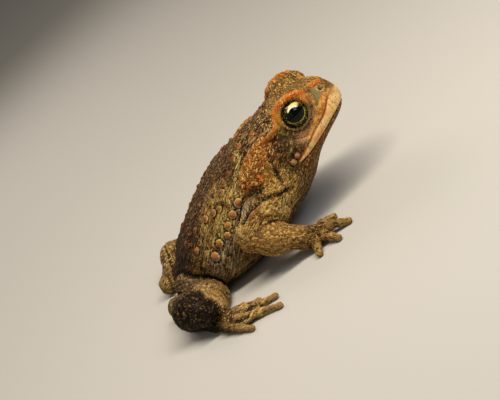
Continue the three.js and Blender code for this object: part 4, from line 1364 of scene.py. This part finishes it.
# %% Painted shade in gaps, folds, lines and hollows, and painted highlights on tips and raised parts
# gaps: painted shade in the gaps of granules and grit and along pleats and wrinkles
gaps = (1 - granule) * granular * 0.55 + (1 - grit) * (1 - bare * 0.75) * (1 - wrinkled * 0.5) * 0.3
gaps = gaps * smooth_wart + (1 - granule) * mask["neck"] * 0.25
gaps = gaps + (1 - pleat) * wrinkled * without(breast=0.6) * 0.5
gaps = gaps + wrinkle * wrinkled * (1 - share_of(fore_arm=0.6, breast=0.5)) * 0.7
# the painted shade of the gaps, multiplied into the colour
colour = finish.mix(colour, seen(66, 44, 22), gaps * without(ridge=1), "MULTIPLY")
# From the mesh's hollows: painted shade in the hollows, and a painted highlight on the raised parts.
sunken_shade, raised = mask["cavity"].run(0.03, 0.7), (0 - mask["cavity"]).run(0.08, 0.8)
# tips: painted highlights on the granules' tops
tips = granule * granule_kind.run(0.55, 0.9) * granular
tips = tips * without(rump=0.8, back=0.65, shank_dark=0.8, thigh_dark=0.7, gland_spot=0.85)
# the pale grains of the grit: painted highlights
grit_highlights = grit * grit_kind.run(0.6, 0.85) * (1 - bare) * without(ridge=1, rump=0.9, back=0.35, cheek=0.8)
grit_highlights = grit_highlights * without(big_wart=1, shank_dark=0.7, thigh_dark=0.6, gland_spot=0.85)
colour = finish.coated(colour, [
    # painted shade in the hollows
    ((34, 22, 10), sunken_shade * (0.9 - share_of(groove=0.75, shank=0.5))),
    # painted shade in the creases
    ((24, 15, 7), mask["fold"] * 0.85),
    ((150, 66, 22), mask["drum_arch"] * 0.85),
    ((206, 94, 28), mask["brow"]),
    ((238, 200, 140), mask["arch"] * 0.7),
    # painted highlights on the granules
    ((248, 202, 118), tips * 0.7),
    # painted highlights on the grit
    ((246, 204, 134), grit_highlights * 0.5),
    # painted highlight on the raised parts
    ((240, 196, 120), raised * without(wart=1, ridge=1, shank_dark=1, rump=0.8) * 0.3),
    ((96, 50, 18), grit * grit_kind.run(0.8, 0.86) * bare * without(rim=1) * 0.75),
])
finish.feed(Base_Color=colour)

# %% Grain and sheen of the skin
bump = finish.node("ShaderNodeBump", sockets={"Height": relief, "Strength": 1.0, "Distance": 0.0008})
moist = mask["rim"] * 0.8 + granule * granule_kind.run(0.5, 0.9) * without(ridge=1) * 0.2
moist = (moist + dome.run(0.6, 1.0) * 0.05).run(0.0, 1.0) * without(shank=1)
finish.feed(Normal=bump, Roughness=0.5 + mottle * 0.2, Specular_IOR_Level=0.09)
finish.feed(Coat_Weight=moist, Coat_Roughness=0.3)
skin.data.materials.append(finish.material)
print("nodes in the skin's finish:", len(finish.tree.nodes))

# %% [markdown]
# ## The eyes
# The eye is a wet ball: a black pupil, wider than high, and round it an iris of gold-green flecks on
# black, with a thin gold line under the pupil. Above the pupil lies a pale gold arc, partly the iris's
# gold and partly a painted highlight with a near-white core. One closed ball with a slight bulge in front
# carries them by how far a point lies beside, above and before the ball's middle. A clear coat stands for
# the cornea and gives the bright reflections.

# %% Balls for the eyes
CORNEA_RISE, CORNEA_WIDTH = 0.25, 0.55


def ball(across=96, down=64):
    """A unit ball from two angles: rings of points and the two ends, with faces of four between the rings
    and a fan of faces of three round each end."""
    v = np.linspace(0, np.pi, down + 1)[1:-1, None]
    u = np.arange(across) * 2 * np.pi / across
    rings = np.broadcast_arrays(np.sin(v) * np.cos(u), np.sin(v) * np.sin(u), np.cos(v))
    unit = np.concatenate([np.stack(rings, axis=-1).reshape(-1, 3), [[0, 0, 1], [0, 0, -1]]])
    here = np.arange(across)
    after = (here + 1) % across
    rows = np.arange(down - 2)[:, None] * across
    a, b = (rows + here).ravel(), (rows + after).ravel()
    quads = np.stack([a, a + across, b + across, b], axis=1)
    last, end = (down - 2) * across, np.full(across, len(unit) - 1)
    first_fan = np.stack([end - 1, here, after], axis=1)
    last_fan = np.stack([end, last + after, last + here], axis=1)
    return unit, [quads, first_fan, last_fan]


def eye_ball(name, sign, stands_for):
    """The ball scaled, bulged in front, turned to the look and set in the head, on one side of it."""
    unit, face_groups = ball()
    off = np.hypot(unit[:, 0], unit[:, 1])
    reach = EYE_RADIUS + CORNEA_RISE * np.exp(-((off / CORNEA_WIDTH) ** 2)) * (unit[:, 2] > 0)
    placed = EYE_AT + (unit * reach[:, None]) @ np.array([LOOK_SIDE, LOOK_UP, LOOK])
    values = dict(zip(("side", "rise", "front"), unit.T * EYE_RADIUS))
    groups = [group[:, ::sign] for group in face_groups]
    return add_piece(name, placed * [1, sign, 1], groups, [stands_for], values)


eyes = [eye_ball("eyeball_right", 1, "eye_right"), eye_ball("eyeball_left", -1, "eye_left")]

# %% The eye's finish
PUPIL_WIDE, PUPIL_HIGH, PUPIL_SHIFT = 3.7, 2.9, 0.1

wet = Finish("wet eye")
side, rise, front = wet.mask("side"), wet.mask("rise"), wet.mask("front")
off = (side**2.0 + rise**2.0) ** 0.5
pupil = (((side + PUPIL_SHIFT) / PUPIL_WIDE) ** 2 + ((rise + PUPIL_SHIFT) / PUPIL_HIGH) ** 2) ** 0.5
fleck = wet.noise(size=0.0007, detail=4.0, rough=0.75)
threads = wet.noise(size=0.00035, detail=3.0, rough=0.7)
flecks = fleck.run(0.56, 0.64) * threads.run(0.46, 0.58)
ring = (1 - (pupil - 1.06).run(0.0, 0.12)) * (pupil - 1.0).run(-0.02, 0.05)
ring = ring * (0 - rise).run(-0.5, 1.5) * 0.8 * fleck.run(0.35, 0.52)
# The arc above the pupil: the iris's pale gold, with a painted highlight whose core is near white.
arc_shade = (1 - off.run(2.8, 3.6)) * 0.8 + fleck.run(0.45, 0.6) * 0.4
arc = off.run(2.5, 2.8) * (1 - (off + side * 0.3).run(3.5, 4.0))
arc = arc * ((rise * 0.99 - side * 0.12) / off).run(0.5, 0.85)
iris = wet.coated(wet.mix(seen(12, 11, 5), seen(190, 186, 44), flecks), [
    ((214, 200, 60), ring),
    # the arc: pale gold and a painted highlight
    (wet.mix(seen(206, 190, 84), seen(255, 250, 214), arc_shade), arc),
    ((14, 12, 8), 1 - front.run(3.0, 4.0)),
])
look = wet.mix(seen(3, 3, 4), iris, (pupil.run(0.98, 1.03) + arc).run(0.0, 1.0))
wet.feed(Base_Color=look, Roughness=0.5, Specular_IOR_Level=0.0)
wet.feed(Coat_Weight=0.5, Coat_Roughness=0.05, Coat_IOR=1.42)
for eye in eyes:
    eye.data.materials.append(wet.material)
print("nodes in the eye's finish:", len(wet.tree.nodes))

# %% [markdown]
# ## Floor, light and camera
# A wide pale floor and four soft lamps show the form without hard edges: a long key light from above, a
# weak fill from the camera's side, a light behind for the outline, and a small cool one in front that is
# mirrored in the eye as sky. The photographed toad climbs a slope. Here it stands on a level floor, so the
# camera is rolled by the angle of that slope, and the toad lies in the frame as it does in the picture.

# %% Floor and lights
TARGET = np.array([49.0, 0.0, 17.0])


def turned(x_axis, y_axis, z_axis, place):
    """The matrix of an object with these axes at this place."""
    matrix = np.eye(4)
    matrix[:3, 0], matrix[:3, 1], matrix[:3, 2], matrix[:3, 3] = x_axis, y_axis, z_axis, place
    return Matrix(matrix.tolist())


LONG_SIDE = np.array([1.0, 0.0, 0.0])


def lamp(name, way, distance, energy, size, colour):
    """A flat lamp that looks at the toad from the given way. Its first side lies along the toad as nearly
    as can be."""
    data = bpy.data.lights.new(name, "AREA")
    data.shape = "RECTANGLE"
    data.energy, data.color = energy, colour
    data.size, data.size_y = size
    made = bpy.data.objects.new(name, data)
    z_axis = np.array(way) / np.linalg.norm(way)
    x_axis = LONG_SIDE - z_axis * (z_axis @ LONG_SIDE)
    x_axis /= np.linalg.norm(x_axis)
    place = to_frame(TARGET) + z_axis * distance
    made.matrix_world = turned(x_axis, np.cross(z_axis, x_axis), z_axis, place)
    bpy.context.scene.collection.objects.link(made)


HALF = 3

floor_mesh = bpy.data.meshes.new("floor")
corners = [(-HALF, -HALF, 0), (HALF, -HALF, 0), (HALF, HALF, 0), (-HALF, HALF, 0)]
floor_mesh.from_pydata(corners, [], [(0, 1, 2, 3)])
floor = bpy.data.objects.new("floor", floor_mesh)
bpy.context.scene.collection.objects.link(floor)
pale = Finish("pale floor")
pale.feed(Base_Color=(0.52, 0.51, 0.49, 1.0), Roughness=0.8)
floor_mesh.materials.append(pale.material)

lamp("key", way=(0.29, -0.16, 0.94), distance=0.5, energy=2.9, size=(0.5, 0.11), colour=(1.0, 0.89, 0.72))
lamp("sky", way=(0.66, -0.42, 0.62), distance=0.55, energy=0.75, size=(0.2, 0.24), colour=(0.9, 0.94, 1.0))
lamp("fill", way=(-0.3, -0.75, 0.45), distance=0.7, energy=0.35, size=(0.6, 0.6), colour=(1.0, 0.9, 0.76))
lamp("rim", way=(-0.25, 0.45, 0.35), distance=0.6, energy=1.0, size=(0.3, 0.3), colour=(1.0, 0.9, 0.8))
print("lamps:", len(bpy.data.lights))
world = bpy.data.worlds.new("studio")
world.use_nodes = True
world.node_tree.nodes["Background"].inputs["Color"].default_value = (1.0, 0.92, 0.8, 1)
world.node_tree.nodes["Background"].inputs["Strength"].default_value = 0.15
bpy.context.scene.world = world
bpy.context.scene.view_settings.view_transform = "Standard"

# %% Camera at the picture's angle
AZIMUTH, RISE, ROLL = np.radians([10.0, 20.0, 40.0])
DISTANCE, LENS, SENSOR = 555.0, 100, 36

back = np.array([np.sin(AZIMUTH) * np.cos(RISE), -np.cos(AZIMUTH) * np.cos(RISE), np.sin(RISE)])
right = np.array([np.cos(AZIMUTH), np.sin(AZIMUTH), 0])
up = np.cross(back, right)
image_right = right * np.cos(ROLL) - up * np.sin(ROLL)
image_up = right * np.sin(ROLL) + up * np.cos(ROLL)

camera_data = bpy.data.cameras.new("camera")
camera_data.lens = LENS
camera_data.sensor_width = SENSOR
camera_data.clip_start = 0.01
camera = bpy.data.objects.new("camera", camera_data)
bpy.context.scene.collection.objects.link(camera)
camera.matrix_world = turned(image_right, image_up, back, to_frame(TARGET + back * DISTANCE))
bpy.context.scene.camera = camera
print("camera in mm above the floor:", round((TARGET + back * DISTANCE)[2]))
